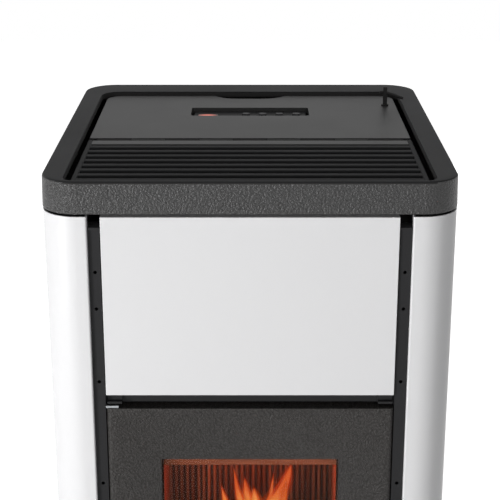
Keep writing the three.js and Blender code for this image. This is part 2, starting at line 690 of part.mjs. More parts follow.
function makeBase(footPlaces) {
  const outer = INSIDE_X;
  const depth = REAR_Y - PANEL_INSET - PANEL_SHEET - SEAT;
  const radius = CORNER_RADIUS - PANEL_SHEET - SEAT;
  const t = PANEL_SHEET;
  const plate = raise(roundedRectangle(-outer, outer, -depth, depth, radius), FOOT_HEIGHT, BASE_TOP);
  const upstand = cut(
    raise(roundedRectangle(-outer, outer, -depth, depth, radius), BASE_TOP - 1, BASE_TOP + BASE_UPSTAND),
    raise(roundedRectangle(-outer + t, outer - t, -depth + t, depth - t, radius - t), 0, CASE_HEIGHT),
    box(-PANEL_RETURN_X - t, PANEL_RETURN_X + t, -CASE_DEPTH, CASE_DEPTH, 0, CASE_HEIGHT),
  );
  const holes = footPlaces.map(([x, y]) => shift(rod(FOOT_STUD_RADIUS + SEAT, 0, CASE_HEIGHT), x, y, 0));
  const front = FRONT_FACE_Y + PLINTH_RECESS;
  const plinth = new THREE.Path();
  plinth.moveTo(-POST_INNER_X + SEAT, front + RAIL_FOLD);
  plinth.lineTo(-POST_INNER_X + SEAT, front);
  plinth.lineTo(POST_INNER_X - SEAT, front);
  plinth.lineTo(POST_INNER_X - SEAT, front + RAIL_FOLD);
  const frontFold = raise(sheetSection(plinth, PANEL_SHEET), BASE_TOP - 1, PLINTH_TOP);
  place('base_plate', cut(join(plate, upstand, frontFold), ...holes), finishes.darkPaint);
}

function makePosts() {
  for (const [name, side] of [['left', -1], ['right', 1]]) {
    const x0 = POST_INNER_X;
    const x1 = POST_INNER_X + POST_WIDTH;
    const y0 = POST_FACE_Y;
    const body = cut(
      box(x0, x1, y0, y0 + POST_DEPTH, BASE_TOP + SEAT, DECK_BOTTOM - SEAT),
      box(x0 + PANEL_SHEET, CASE_WIDTH, y0 + PANEL_SHEET, y0 + POST_DEPTH - PANEL_SHEET, 0, CASE_HEIGHT),
      // the outer end clears the side panel's folded edge
      box(PANEL_RETURN_X - SEAT, CASE_WIDTH, FRONT_Y, PANEL_FACE_Y + PANEL_EDGE_FOLD + SEAT, 0, CASE_HEIGHT),
    );
    const nutRoom = rod(FOOT_STUD_RADIUS + NUT_ROOM, 0, BASE_TOP + FOOT_STUD_ABOVE + FOOT_STUD_RADIUS);
    const footRoom = shift(nutRoom, HALF_WIDTH - FOOT_INSET_X, FRONT_Y + FOOT_INSET_Y, 0);
    const holes = POST_HOLES_BELOW_RIM.map((below) => rodAlongY(POST_HOLE_RADIUS, x0 + POST_HOLE_OFFSET,
      RIM_BOTTOM - below, y0 - THROUGH, y0 + PANEL_SHEET + THROUGH, 8));
    const post = cut(body, footRoom, ...holes);
    place(`front_post_${name}`, side > 0 ? post : mirrorX(post), finishes.darkPaint);
  }
}

// ---------------------------------------------------------------- sheet casing

function sidePanelSection() {
  const y = REAR_Y - PANEL_INSET;
  const path = new THREE.Path();
  path.moveTo(PANEL_RETURN_X, -y + PANEL_EDGE_FOLD);
  path.lineTo(PANEL_RETURN_X, -y);
  path.lineTo(PANEL_OUTER_X - CORNER_RADIUS, -y);
  path.absarc(PANEL_OUTER_X - CORNER_RADIUS, -y + CORNER_RADIUS, CORNER_RADIUS, -Math.PI / 2, 0, false);
  path.lineTo(PANEL_OUTER_X, y - CORNER_RADIUS);
  path.absarc(PANEL_OUTER_X - CORNER_RADIUS, y - CORNER_RADIUS, CORNER_RADIUS, 0, Math.PI / 2, false);
  path.lineTo(PANEL_RETURN_X, y);
  path.lineTo(PANEL_RETURN_X, y - PANEL_EDGE_FOLD);
  return sheetSection(path, PANEL_SHEET);
}

function makeSidePanels() {
  const panel = raise(sidePanelSection(), PANEL_BOTTOM, PANEL_TOP);
  place('side_panel_right', panel, finishes.whiteEnamel);
  place('side_panel_left', mirrorX(panel), finishes.whiteEnamel);
}

// A flat sheet tray with its edges folded back, open at the rear.
function frontTray(z0, z1) {
  const x = FRONT_HALF_WIDTH;
  const y0 = FRONT_FACE_Y;
  return cut(
    box(-x, x, y0, y0 + FRONT_TRAY_DEPTH, z0, z1),
    box(-x + PANEL_SHEET, x - PANEL_SHEET, y0 + PANEL_SHEET, CASE_DEPTH, z0 + PANEL_SHEET, z1 - PANEL_SHEET),
  );
}

function makeUpperPanel() {
  place('front_panel_upper', frontTray(UPPER_PANEL_BOTTOM, UPPER_PANEL_TOP), finishes.whiteEnamel);
  // cross rail behind the gap over the door: it stiffens the posts and carries the panel
  const y = TRAY_BACK_Y;
  const t = PANEL_SHEET;
  const foot = UPPER_PANEL_BOTTOM - RAIL_LIP;
  const top = UPPER_PANEL_BOTTOM + RAIL_LIP - t;
  const section = draw(
    polygon([[y, foot], [y + t, foot], [y + t, top - t], [y + RAIL_FOLD, top - t], [y + RAIL_FOLD, top],
      [y, top]]),
    -POST_INNER_X + SEAT,
    POST_INNER_X - SEAT,
  );
  const half = CLIP_WIDTH / 2;
  const clip = (x) => join(
    box(x - half, x + half, y - CLIP_REACH, y + 1, foot + 1, foot + 1 + CLIP_SHEET),
    box(x - half, x + half, y - CLIP_SHEET, y + 1, foot + 1, UPPER_PANEL_BOTTOM - CLIP_SHEET),
  );
  const clips = [clip(-FRONT_HALF_WIDTH + CLIP_INSET), clip(FRONT_HALF_WIDTH - CLIP_INSET)];
  place('panel_rail', join(section, ...clips), finishes.darkPaint);
}

function makeRearPanel() {
  const x = PANEL_RETURN_X - SEAT;
  const y1 = REAR_Y - PANEL_INSET;
  const y0 = y1 - REAR_FOLD;
  const z0 = BASE_TOP + SEAT;
  const z1 = DECK_BOTTOM - SEAT;
  const channel = cut(
    box(-x, x, y0, y1, z0, z1),
    box(-x + PANEL_SHEET, x - PANEL_SHEET, y0 - 1, y1 - PANEL_SHEET, 0, CASE_HEIGHT),
  );
  const louvres = [];
  const w = FAN_LOUVRE_HALF_WIDTH;
  for (let i = 0; i < LOUVRE_COUNT; i += 1) {
    const upper = LOUVRE_BOTTOM + i * LOUVRE_PITCH;
    const lower = FAN_LOUVRE_BOTTOM + i * FAN_LOUVRE_PITCH;
    louvres.push(box(-LOUVRE_HALF_WIDTH, LOUVRE_HALF_WIDTH, y0, REAR_Y, upper, upper + LOUVRE_HEIGHT));
    louvres.push(box(ROOM_FAN_X - w, ROOM_FAN_X + w, y0, REAR_Y, lower, lower + FAN_LOUVRE_HEIGHT));
  }
  const flueHole = rodAlongY(FLUE_RADIUS + SEAT, FLUE_X, FLUE_Z, y0, REAR_Y, 24);
  const airHole = rodAlongY(AIR_INLET_RADIUS + SEAT, AIR_INLET_X, AIR_INLET_Z, y0, REAR_Y, 20);
  const powerHole = box(POWER_X - POWER_HALF.x - SEAT, POWER_X + POWER_HALF.x + SEAT, y0, REAR_Y,
    POWER_Z - POWER_HALF.z - SEAT, POWER_Z + POWER_HALF.z + SEAT);
  const switchHole = box(SWITCH_X - SWITCH_HALF.x - SEAT, SWITCH_X + SWITCH_HALF.x + SEAT, y0, REAR_Y,
    POWER_Z - SWITCH_HALF.z - SEAT, POWER_Z + SWITCH_HALF.z + SEAT);
  place('rear_panel', cut(channel, ...louvres, flueHole, airHole, powerHole, switchHole), finishes.darkPaint);
}

// ---------------------------------------------------------------- deck, rim and grille

function makeDeck() {
  const inset = REAR_Y - PANEL_INSET - PANEL_SHEET - SEAT;
  const room = HOPPER_SHEET + SEAT;
  const outline = roundedRectangle(-INSIDE_X, INSIDE_X, -inset, inset, CORNER_RADIUS - PANEL_SHEET - SEAT);
  const plate = raise(outline, DECK_BOTTOM, DECK_TOP);
  // the folded edges of the side panels pass through the deck's outline
  const notch = (sx, y0, y1) => box(
    Math.min(sx * (PANEL_RETURN_X - 1), sx * (PANEL_RETURN_X + 3)),
    Math.max(sx * (PANEL_RETURN_X - 1), sx * (PANEL_RETURN_X + 3)), y0, y1, 0, CASE_HEIGHT,
  );
  const edge = PANEL_FACE_Y + PANEL_EDGE_FOLD + 1;
  const airHalf = HALF_WIDTH - WARM_AIR_INSET_X;
  const warmAir = box(-airHalf, airHalf, FRONT_Y + WARM_AIR_INSET_Y, GRILLE_REAR_Y - GRILLE_BAR_DEPTH / 2, 0,
    CASE_HEIGHT);
  const mouth = box(-MOUTH_HALF_WIDTH - room, MOUTH_HALF_WIDTH + room, MOUTH_FRONT_Y - room,
    MOUTH_REAR_Y + room, 0, CASE_HEIGHT);
  const trayRoom = box(-POST_INNER_X, POST_INNER_X, FRONT_Y, TRAY_BACK_Y, 0, CASE_HEIGHT);
  place('deck_plate', cut(plate, warmAir, mouth, trayRoom, notch(-1, FRONT_Y, edge), notch(1, FRONT_Y, edge),
    notch(-1, -edge, REAR_Y), notch(1, -edge, REAR_Y)), finishes.darkPaint);
}

// Plan outline of the rim, drawn in or out by an inset.
function rimOutline(inset) {
  return roundedRectangle(-HALF_WIDTH + inset, HALF_WIDTH - inset, FRONT_Y + inset, REAR_Y - inset,
    CORNER_RADIUS - inset);
}

function makeRim() {
  // cast with draft: the wall leans in towards the top and ends in a small round
  const layers = [
    [RIM_BOTTOM, RIM_BOTTOM + RIM_HEIGHT / 2, 0],
    [RIM_BOTTOM + RIM_HEIGHT / 2, CASE_HEIGHT - RIM_EDGE_RADIUS, RIM_DRAFT / 3],
    [CASE_HEIGHT - RIM_EDGE_RADIUS, CASE_HEIGHT - RIM_EDGE_RADIUS / 3, RIM_DRAFT * 0.8],
    [CASE_HEIGHT - RIM_EDGE_RADIUS / 3, CASE_HEIGHT, RIM_DRAFT * 1.6],
  ];
  const body = join(...layers.map(([z0, z1, inset]) => raise(rimOutline(inset), z0, z1, 4)));
  const hollow = raise(rimOutline(RIM_WALL), 0, CASE_HEIGHT - RIM_TOP_THICKNESS, 4);
  const opening = raise(roundedRectangle(-RIM_OPENING_X, RIM_OPENING_X, RIM_OPENING_FRONT_Y, RIM_OPENING_REAR_Y,
    RIM_OPENING_FRONT_RADIUS, RIM_OPENING_REAR_RADIUS), 0, CASE_HEIGHT + THROUGH, 4);
  const skirt = cut(
    raise(rimOutline(RIM_WALL - 1), DECK_TOP + SEAT, CASE_HEIGHT - RIM_TOP_THICKNESS, 4),
    raise(rimOutline(RIM_WALL - 1 + RIM_SKIRT), 0, CASE_HEIGHT, 4),
  );
  // the skirt is notched where the side panels' folded edges rise behind it
  const foldRooms = [-1, 1].flatMap((sx) => [-1, 1].map((sy) => {
    const x = sx * (PANEL_RETURN_X + PANEL_SHEET / 2);
    const y = sy * (REAR_Y - PANEL_EDGE_FOLD);
    return box(x - 2, x + 2, Math.min(y, y + sy * 20) - 2, Math.max(y, y + sy * 20) + 2, 0, PANEL_TOP + SEAT);
  }));
  const panelRoom = box(-POST_INNER_X, POST_INNER_X, FRONT_Y, FRONT_Y + 20, 0, PANEL_TOP + SEAT);
  const frame = join(cut(body, hollow), cut(skirt, panelRoom, ...foldRooms));
  place('top_rim', cut(frame, opening), finishes.castIron);
}

function makeGrille() {
  const x = RIM_OPENING_X - GRILLE_GAP_X;
  const y0 = RIM_OPENING_FRONT_Y + GRILLE_FRONT_GAP;
  const low = LID_TOP - SLAT_HEIGHT;
  const pieces = [];
  for (const side of [-1, 1]) {
    const inner = side * (x - GRILLE_CHEEK);
    const outer = side * x;
    pieces.push(box(Math.min(inner, outer), Math.max(inner, outer), y0, GRILLE_REAR_Y, DECK_TOP + SEAT,
      LID_TOP));
  }
  const between = x - GRILLE_CHEEK / 2;
  const slatTop = LID_TOP - GRILLE_SLAT_DROP;
  pieces.push(box(-between, between, y0 + 1, y0 + 1 + GRILLE_FRONT_BAR, low - 1, slatTop));
  pieces.push(box(-between, between, GRILLE_REAR_Y - GRILLE_BAR_DEPTH, GRILLE_REAR_Y - 1,
    slatTop - GRILLE_BAR_HEIGHT, slatTop));
  // each slat is a bar with a rounded top, leaning forward a little to throw the air outwards
  const half = SLAT_DEPTH / 2;
  const section = new THREE.Shape();
  section.moveTo(-half + SLAT_LEAN, low);
  section.lineTo(-half + SLAT_LEAN + SLAT_FOOT_DEPTH, low);
  section.lineTo(half, slatTop - SLAT_EDGE_RADIUS);
  const r = SLAT_EDGE_RADIUS;
  section.absarc(half - r, slatTop - r, r, 0, Math.PI / 2, false);
  section.absarc(-half + r, slatTop - r, r, Math.PI / 2, Math.PI, false);
  const slat = draw(section, -between, between, 3);
  const firstY = GRILLE_REAR_Y - GRILLE_BAR_DEPTH - SLAT_PITCH / 2;
  for (let i = 0; i < SLAT_COUNT; i += 1) {
    pieces.push(shift(slat, 0, firstY - i * SLAT_PITCH, 0));
  }
  place('warm_air_grille', join(...pieces), finishes.castIron);
}

// ---------------------------------------------------------------- hopper lid

function lidOutline() {
  const x = LID_HALF_WIDTH;
  const r = LID_CORNER_RADIUS;
  const shape = new THREE.Shape();
  shape.moveTo(-x, LID_FRONT_Y);
  shape.lineTo(x, LID_FRONT_Y);
  shape.lineTo(x, LID_REAR_Y - r);
  shape.absarc(x - r, LID_REAR_Y - r, r, 0, Math.PI / 2, false);
  // finger notch: a shallow curve drawn into the rear edge
  shape.lineTo(LID_NOTCH_HALF, LID_REAR_Y);
  shape.bezierCurveTo(LID_NOTCH_HALF * 0.7, LID_REAR_Y - LID_NOTCH_DEPTH, LID_NOTCH_HALF * 0.6,
    LID_REAR_Y - LID_NOTCH_DEPTH, 0, LID_REAR_Y - LID_NOTCH_DEPTH);
  shape.bezierCurveTo(-LID_NOTCH_HALF * 0.6, LID_REAR_Y - LID_NOTCH_DEPTH, -LID_NOTCH_HALF * 0.7,
    LID_REAR_Y - LID_NOTCH_DEPTH, -LID_NOTCH_HALF, LID_REAR_Y);
  shape.lineTo(-x + r, LID_REAR_Y);
  shape.absarc(-x + r, LID_REAR_Y - r, r, Math.PI / 2, Math.PI, false);
  return shape;
}

const KNUCKLE_LENGTH = (2 * (LID_HALF_WIDTH - HINGE_END)) / HINGE_KNUCKLES;

function knuckle(i, inset) {
  const x0 = -LID_HALF_WIDTH + HINGE_END + i * KNUCKLE_LENGTH + inset;
  return { x0, x1: x0 + KNUCKLE_LENGTH - 2 * inset };
}

function makeLid() {
  const plate = raise(lidOutline(), LID_PLATE_BOTTOM, LID_TOP, 5);
  const x = LID_HALF_WIDTH;
  const skirt = cut(
    raise(lidOutline(), LID_PLATE_BOTTOM - LID_SKIRT, LID_PLATE_BOTTOM + 1, 5),
    raise(roundedRectangle(-x + LID_SHEET, x - LID_SHEET, -CASE_DEPTH, LID_REAR_Y - LID_SHEET, 2,
      LID_CORNER_RADIUS - LID_SHEET), 0, LID_PLATE_BOTTOM),
    box(-CASE_WIDTH, CASE_WIDTH, -CASE_DEPTH, LID_FRONT_Y + 12, 0, LID_PLATE_BOTTOM),
  );
  const slot = raise(roundedRectangle(-LID_SLOT_HALF, LID_SLOT_HALF, LID_SLOT_FRONT_Y, LID_SLOT_REAR_Y,
    LID_SLOT_RADIUS), 0, CASE_HEIGHT, 4);
  // the sheet is folded down into a lip along the finger notch and round the slot
  const lipBottom = LID_PLATE_BOTTOM - LID_LIP;
  const notchLip = cut(raise(lidOutline(), lipBottom, LID_PLATE_BOTTOM + 1, 5),
    shift(raise(lidOutline(), 0, CASE_HEIGHT, 5), 0, -LID_SHEET, 0));
  const slotLip = raise(roundedRectangle(-LID_SLOT_HALF - LID_SHEET, LID_SLOT_HALF + LID_SHEET,
    LID_SLOT_FRONT_Y - LID_SHEET, LID_SLOT_REAR_Y + LID_SHEET, LID_SLOT_RADIUS + LID_SHEET),
    lipBottom, LID_PLATE_BOTTOM + 1, 4);
  const catchHole = shift(rod(CATCH_STEM_RADIUS + SEAT, 0, CASE_HEIGHT, 12), CATCH_X, CATCH_Y, 0);
  let lid = cut(join(plate, skirt, notchLip, slotLip), slot, catchHole);
  for (let i = 1; i < HINGE_KNUCKLES; i += 2) {
    const { x0, x1 } = knuckle(i, RUNNING / 2);
    lid = join(
      lid,
      rodAlongX(HINGE_KNUCKLE_RADIUS, HINGE_Y, HINGE_Z, x0, x1, 8),
      box(x0, x1, HINGE_Y, LID_FRONT_Y + 1, HINGE_Z + 1.2, HINGE_Z + HINGE_KNUCKLE_RADIUS - 0.3),
    );
  }
  lid = cut(lid, rodAlongX(HINGE_ROD_RADIUS + SEAT, HINGE_Y, HINGE_Z, -CASE_WIDTH, CASE_WIDTH, 8));
  place('hopper_lid', lid, finishes.lidPaint);

  // fixed half of the piano hinge: a plate on the deck, with the rod and its own knuckles
  const plateY = HINGE_Y - HINGE_KNUCKLE_RADIUS;
  const end = x - HINGE_END + HINGE_LEAF;
  const z0 = DECK_TOP + SEAT;
  let fixed = join(
    box(-end, end, plateY, plateY + HINGE_LEAF, z0, HINGE_Z - HINGE_KNUCKLE_RADIUS - RUNNING),
    box(-end, end, plateY, plateY + HINGE_FOOT, z0, z0 + HINGE_LEAF),
    rodAlongX(HINGE_ROD_RADIUS, HINGE_Y, HINGE_Z, -end, end, 8),
  );
  for (let i = 0; i < HINGE_KNUCKLES; i += 2) {
    const { x0, x1 } = knuckle(i, RUNNING / 2);
    fixed = join(
      fixed,
      rodAlongX(HINGE_KNUCKLE_RADIUS, HINGE_Y, HINGE_Z, x0, x1, 8),
      box(x0, x1, plateY, plateY + HINGE_LEAF, z0, HINGE_Z),
    );
  }
  place('lid_hinge', fixed, finishes.darkSteel);

  const half = SEAL_WIDTH / 2 - HOPPER_SHEET / 2;
  const sealRing = (d) => roundedRectangle(-MOUTH_HALF_WIDTH - d, MOUTH_HALF_WIDTH + d, MOUTH_FRONT_Y - d,
    MOUTH_REAR_Y + d, SEAL_WIDTH - HOPPER_SHEET + d);
  place('lid_seal', cut(
    raise(sealRing(HOPPER_SHEET + half), MOUTH_COLLAR_TOP + SEAT, LID_PLATE_BOTTOM - SEAT, 3),
    raise(sealRing(-half), 0, CASE_HEIGHT, 3),
  ), finishes.fibre);
}

function makeCatch() {
  // turn catch: T-shaped finger piece above the lid, locking tongue below it
  const top = LID_TOP + CATCH_HEIGHT;
  const bottom = LID_PLATE_BOTTOM - LID_SKIRT - CATCH_TONGUE_BELOW_SKIRT;
  const branch = top - CATCH_ARM_BELOW_TOP;
  const stem = turn([[0, bottom], [CATCH_STEM_RADIUS, bottom], [CATCH_STEM_RADIUS, top - 1],
    [CATCH_STEM_RADIUS - 1, top], [0, top]], 12);
  const collar = rod(2 * CATCH_STEM_RADIUS - RUNNING, LID_TOP + SEAT, LID_TOP + LID_SHEET, 12);
  const drop = Math.atan2(CATCH_ARM_DROP, CATCH_ARM_REACH);
  const arm = transformed(
    rod(CATCH_ARM_RADIUS, 0, Math.hypot(CATCH_ARM_DROP, CATCH_ARM_REACH), 10),
    new THREE.Matrix4().makeRotationY(Math.PI / 2 + drop).setPosition(0, 0, branch),
  );
  const stub = transformed(
    rod(CATCH_ARM_RADIUS, 0, CATCH_STUB_LENGTH, 10),
    new THREE.Matrix4().makeRotationY(-Math.PI / 2).setPosition(0, 0, branch),
  );
  const tongue = box(-CATCH_TONGUE_HALF_WIDTH, CATCH_TONGUE_HALF_WIDTH, -CATCH_TONGUE_LENGTH,
    CATCH_STEM_RADIUS + RUNNING, bottom, bottom + CATCH_TONGUE_SHEET);
  place('lid_catch', shift(join(stem, collar, arm, stub, tongue), CATCH_X, CATCH_Y, 0), finishes.darkSteel);
}

// ---------------------------------------------------------------- hopper and feed

const AUGER_TILT = Math.atan2(AUGER_RUN, AUGER_RISE);
const AUGER_FRAME = new THREE.Matrix4().makeRotationX(AUGER_TILT).setPosition(0, AUGER_LOWER.y, AUGER_LOWER.z);

function onAuger(solid) {
  return transformed(solid, AUGER_FRAME);
}

function makeHopper() {
  const rectangle = (x, y0, y1) => ({ x0: -x, x1: x, y0, y1 });
  const neck = HOPPER_NECK_HALF;
  const wide = HOPPER_HALF_WIDTH - HOPPER_SHEET;
  const y1 = HOPPER_REAR_Y - HOPPER_SHEET;
  const ceiling = DECK_BOTTOM - SEAT - HOPPER_SHEET;
  const overlap = 0.01;
  // the room for pellets, or the sheet round it when d is the sheet's thickness
  const body = (d) => join(
    frustum(rectangle(neck + d, HOPPER_NECK_Y - neck - d, HOPPER_NECK_Y + neck + d), HOPPER_NECK_TOP,
      rectangle(wide + d, MOUTH_FRONT_Y - d, y1 + d), HOPPER_SLOPE_TOP),
    box(-wide - d, wide + d, MOUTH_FRONT_Y - d, y1 + d, HOPPER_SLOPE_TOP - overlap, ceiling + d),
    box(-neck - d, neck + d, HOPPER_NECK_Y - neck - d, HOPPER_NECK_Y + neck + d, AUGER_LOWER.z,
      HOPPER_NECK_TOP + overlap),
    box(-MOUTH_HALF_WIDTH - d, MOUTH_HALF_WIDTH + d, MOUTH_FRONT_Y - d, MOUTH_REAR_Y + d, HOPPER_SLOPE_TOP,
      MOUTH_COLLAR_TOP + (d ? 0 : THROUGH)),
  );
  const f = FLANGE_WIDTH + HOPPER_SHEET;
  const flange = box(-MOUTH_HALF_WIDTH - f, MOUTH_HALF_WIDTH + f, MOUTH_FRONT_Y - FLANGE_WIDTH,
    MOUTH_REAR_Y + f, DECK_TOP + SEAT, DECK_TOP + SEAT + HOPPER_SHEET);
  const saddle = onAuger(rod(AUGER_TUBE_RADIUS + SEAT, 0, AUGER_LENGTH, 16));
  const hopper = cut(
    join(body(HOPPER_SHEET), flange),
    body(0),
    // the neck ends as a saddle on the auger's tube, with nothing under the tube
    saddle,
    shift(saddle, 0, 0, -AUGER_TUBE_RADIUS),
    box(-CASE_WIDTH, CASE_WIDTH, FRONT_Y, REAR_Y, 0, NECK_AXIS_Z + HOPPER_SHEET),
  );
  place('hopper', hopper, finishes.zincSteel);

  const grid = [];
  const z = DECK_TOP + HOPPER_SHEET;
  const g = GRID_FRAME;
  const rectangleRing = cut(
    box(-MOUTH_HALF_WIDTH + SEAT, MOUTH_HALF_WIDTH - SEAT, MOUTH_FRONT_Y + SEAT, MOUTH_REAR_Y - SEAT,
      z, z + 2 * GRID_BAR),
    box(-MOUTH_HALF_WIDTH + g, MOUTH_HALF_WIDTH - g, MOUTH_FRONT_Y + g, MOUTH_REAR_Y - g, 0, CASE_HEIGHT),
  );
  const bars = Math.floor((MOUTH_HALF_WIDTH - FLANGE_WIDTH) / GRID_PITCH);
  for (let i = -bars; i <= bars; i += 1) {
    const x = i * GRID_PITCH;
    grid.push(box(x - GRID_BAR / 2, x + GRID_BAR / 2, MOUTH_FRONT_Y + g / 2, MOUTH_REAR_Y - g / 2,
      z + 1, z + 1 + GRID_BAR));
  }
  place('hopper_grid', join(rectangleRing, ...grid), finishes.zincSteel);
}

// One unbroken flight wound round the shaft, as a ribbon of four edges.
function augerFlight(z0, z1) {
  const steps = Math.ceil(((z1 - z0) / AUGER_PITCH) * AUGER_STEPS_PER_TURN);
  const positions = [];
  const faces = [];
  for (let i = 0; i <= steps; i += 1) {
    const z = z0 + ((z1 - z0) * i) / steps;
    const angle = (2 * Math.PI * (z - z0)) / AUGER_PITCH;
    for (const [radius, lift] of [[AUGER_SHAFT_RADIUS - 1.5, -1], [AUGER_SCREW_RADIUS, -1],
      [AUGER_SCREW_RADIUS, 1], [AUGER_SHAFT_RADIUS - 1.5, 1]]) {
      positions.push(radius * Math.cos(angle), radius * Math.sin(angle), z + (lift * AUGER_FLIGHT) / 2);
    }
  }
  for (let i = 0; i < steps; i += 1) {
    for (let k = 0; k < 4; k += 1) {
      const a = 4 * i + k;
      const b = 4 * i + ((k + 1) % 4);
      faces.push(a, a + 4, b, b, a + 4, b + 4);
    }
  }
  faces.push(0, 1, 2, 0, 2, 3);
  const end = 4 * steps;
  faces.push(end, end + 2, end + 1, end, end + 3, end + 2);
  const geometry = new THREE.BufferGeometry();
  geometry.setAttribute('position', new THREE.Float32BufferAttribute(positions, 3));
  geometry.setIndex(faces);
  return toSolid(geometry);
}

function makeAuger() {
  const inner = AUGER_TUBE_RADIUS - AUGER_TUBE_WALL;
  const h = HOPPER_NECK_HALF - HOPPER_SHEET;
  const inlet = box(-h, h, HOPPER_NECK_Y - h, HOPPER_NECK_Y + h, NECK_AXIS_Z, HOPPER_SLOPE_TOP);
  const tube = cut(
    onAuger(rod(AUGER_TUBE_RADIUS, 0, AUGER_LENGTH, 16)),
    onAuger(rod(inner, AUGER_TUBE_CAP, AUGER_LENGTH + THROUGH, 16)),
    onAuger(rod(AUGER_SHAFT_RADIUS + SHAFT_CLEARANCE, -THROUGH, AUGER_TUBE_CAP + THROUGH, 12)),
    inlet,
  );
  place('auger_tube', tube, finishes.zincSteel);
  const screw = join(
    onAuger(rod(AUGER_SHAFT_RADIUS, -MOTOR_SOCKET + RUNNING, AUGER_LENGTH - MOTOR_CHAMFER, 12)),
    onAuger(augerFlight(AUGER_TUBE_CAP + MOTOR_CHAMFER, AUGER_LENGTH - AUGER_TUBE_CAP - MOTOR_CHAMFER)),
  );
  place('auger_screw', screw, finishes.zincSteel);
  const motor = onAuger(cut(
    turn([[0, -MOTOR_LENGTH], [MOTOR_RADIUS - MOTOR_CHAMFER, -MOTOR_LENGTH],
      [MOTOR_RADIUS, -MOTOR_LENGTH + MOTOR_CHAMFER], [MOTOR_RADIUS, -MOTOR_FLANGE_LENGTH],
      [MOTOR_FLANGE_RADIUS, -MOTOR_FLANGE_LENGTH], [MOTOR_FLANGE_RADIUS, -SEAT], [0, -SEAT]]),
    rod(AUGER_SHAFT_RADIUS + SHAFT_CLEARANCE, -MOTOR_SOCKET, THROUGH, 12),
  ));
  place('auger_motor', motor, finishes.darkSteel);
}

// Outline of a closed polygon drawn in by an even distance.
function insetOutline(points, distance) {
  return points.map((point, i) => {
    const before = points[(i + points.length - 1) % points.length];
    const after = points[(i + 1) % points.length];
    const normal = (from, to) => new THREE.Vector2(from[1] - to[1], to[0] - from[0]).normalize();
    const a = normal(before, point);
    const b = normal(point, after);
    const mitre = a.clone().add(b).normalize();
    const reach = distance / mitre.dot(a);
    return [point[0] + mitre.x * reach, point[1] + mitre.y * reach];
  });
}

function makeChute() {
  const y0 = FIREBOX_REAR_Y + SEAT;
  const end = AUGER_UPPER;
  const lip = CHUTE_DROP_Z - 2 * CHUTE_SHEET;
  const roof = end.z + AUGER_TUBE_RADIUS + CHUTE_SHEET;
  const nose = end.y - AUGER_TUBE_RADIUS - HOPPER_NECK_HALF;
  const outline = [
    [y0, lip], [end.y - CHUTE_THROAT.y, end.z - CHUTE_THROAT.z], [end.y + CHUTE_BACK.y, end.z + CHUTE_BACK.z],
    [end.y + CHUTE_BACK.z, roof],
    [nose, roof], [nose, end.z - 2 * CHUTE_SHEET], [y0, CHUTE_DROP_Z + CHUTE_HOLE_HEIGHT + 3 * CHUTE_SHEET],
  ];
  const half = CHUTE_HALF_WIDTH + CHUTE_WALL_OUT;
  const chute = cut(
    draw(polygon(outline), -half, half),
    draw(polygon(insetOutline(outline, CHUTE_SHEET)), -half + CHUTE_SHEET, half - CHUTE_SHEET),
    onAuger(rod(AUGER_TUBE_RADIUS + SEAT, 0, AUGER_LENGTH + SEAT, 16)),
    box(-CHUTE_HALF_WIDTH, CHUTE_HALF_WIDTH, y0 - THROUGH, y0 + 2 * CHUTE_SHEET, CHUTE_DROP_Z,
      CHUTE_DROP_Z + CHUTE_HOLE_HEIGHT),
  );
  place('pellet_chute', chute, finishes.zincSteel);
}

// ---------------------------------------------------------------- firebox and burner

// A round way through the firebox's rear, from y0 to y1.
function airWay(y0, y1) {
  return rodAlongY(AIR_INLET_RADIUS + SEAT, AIR_INLET_X, AIR_INLET_Z, y0, y1, 20);
}

function igniterWay(y0, y1) {
  return rodAlongY(IGNITER_RADIUS + SEAT, 0, IGNITER_Z, y0, y1, 14);
}

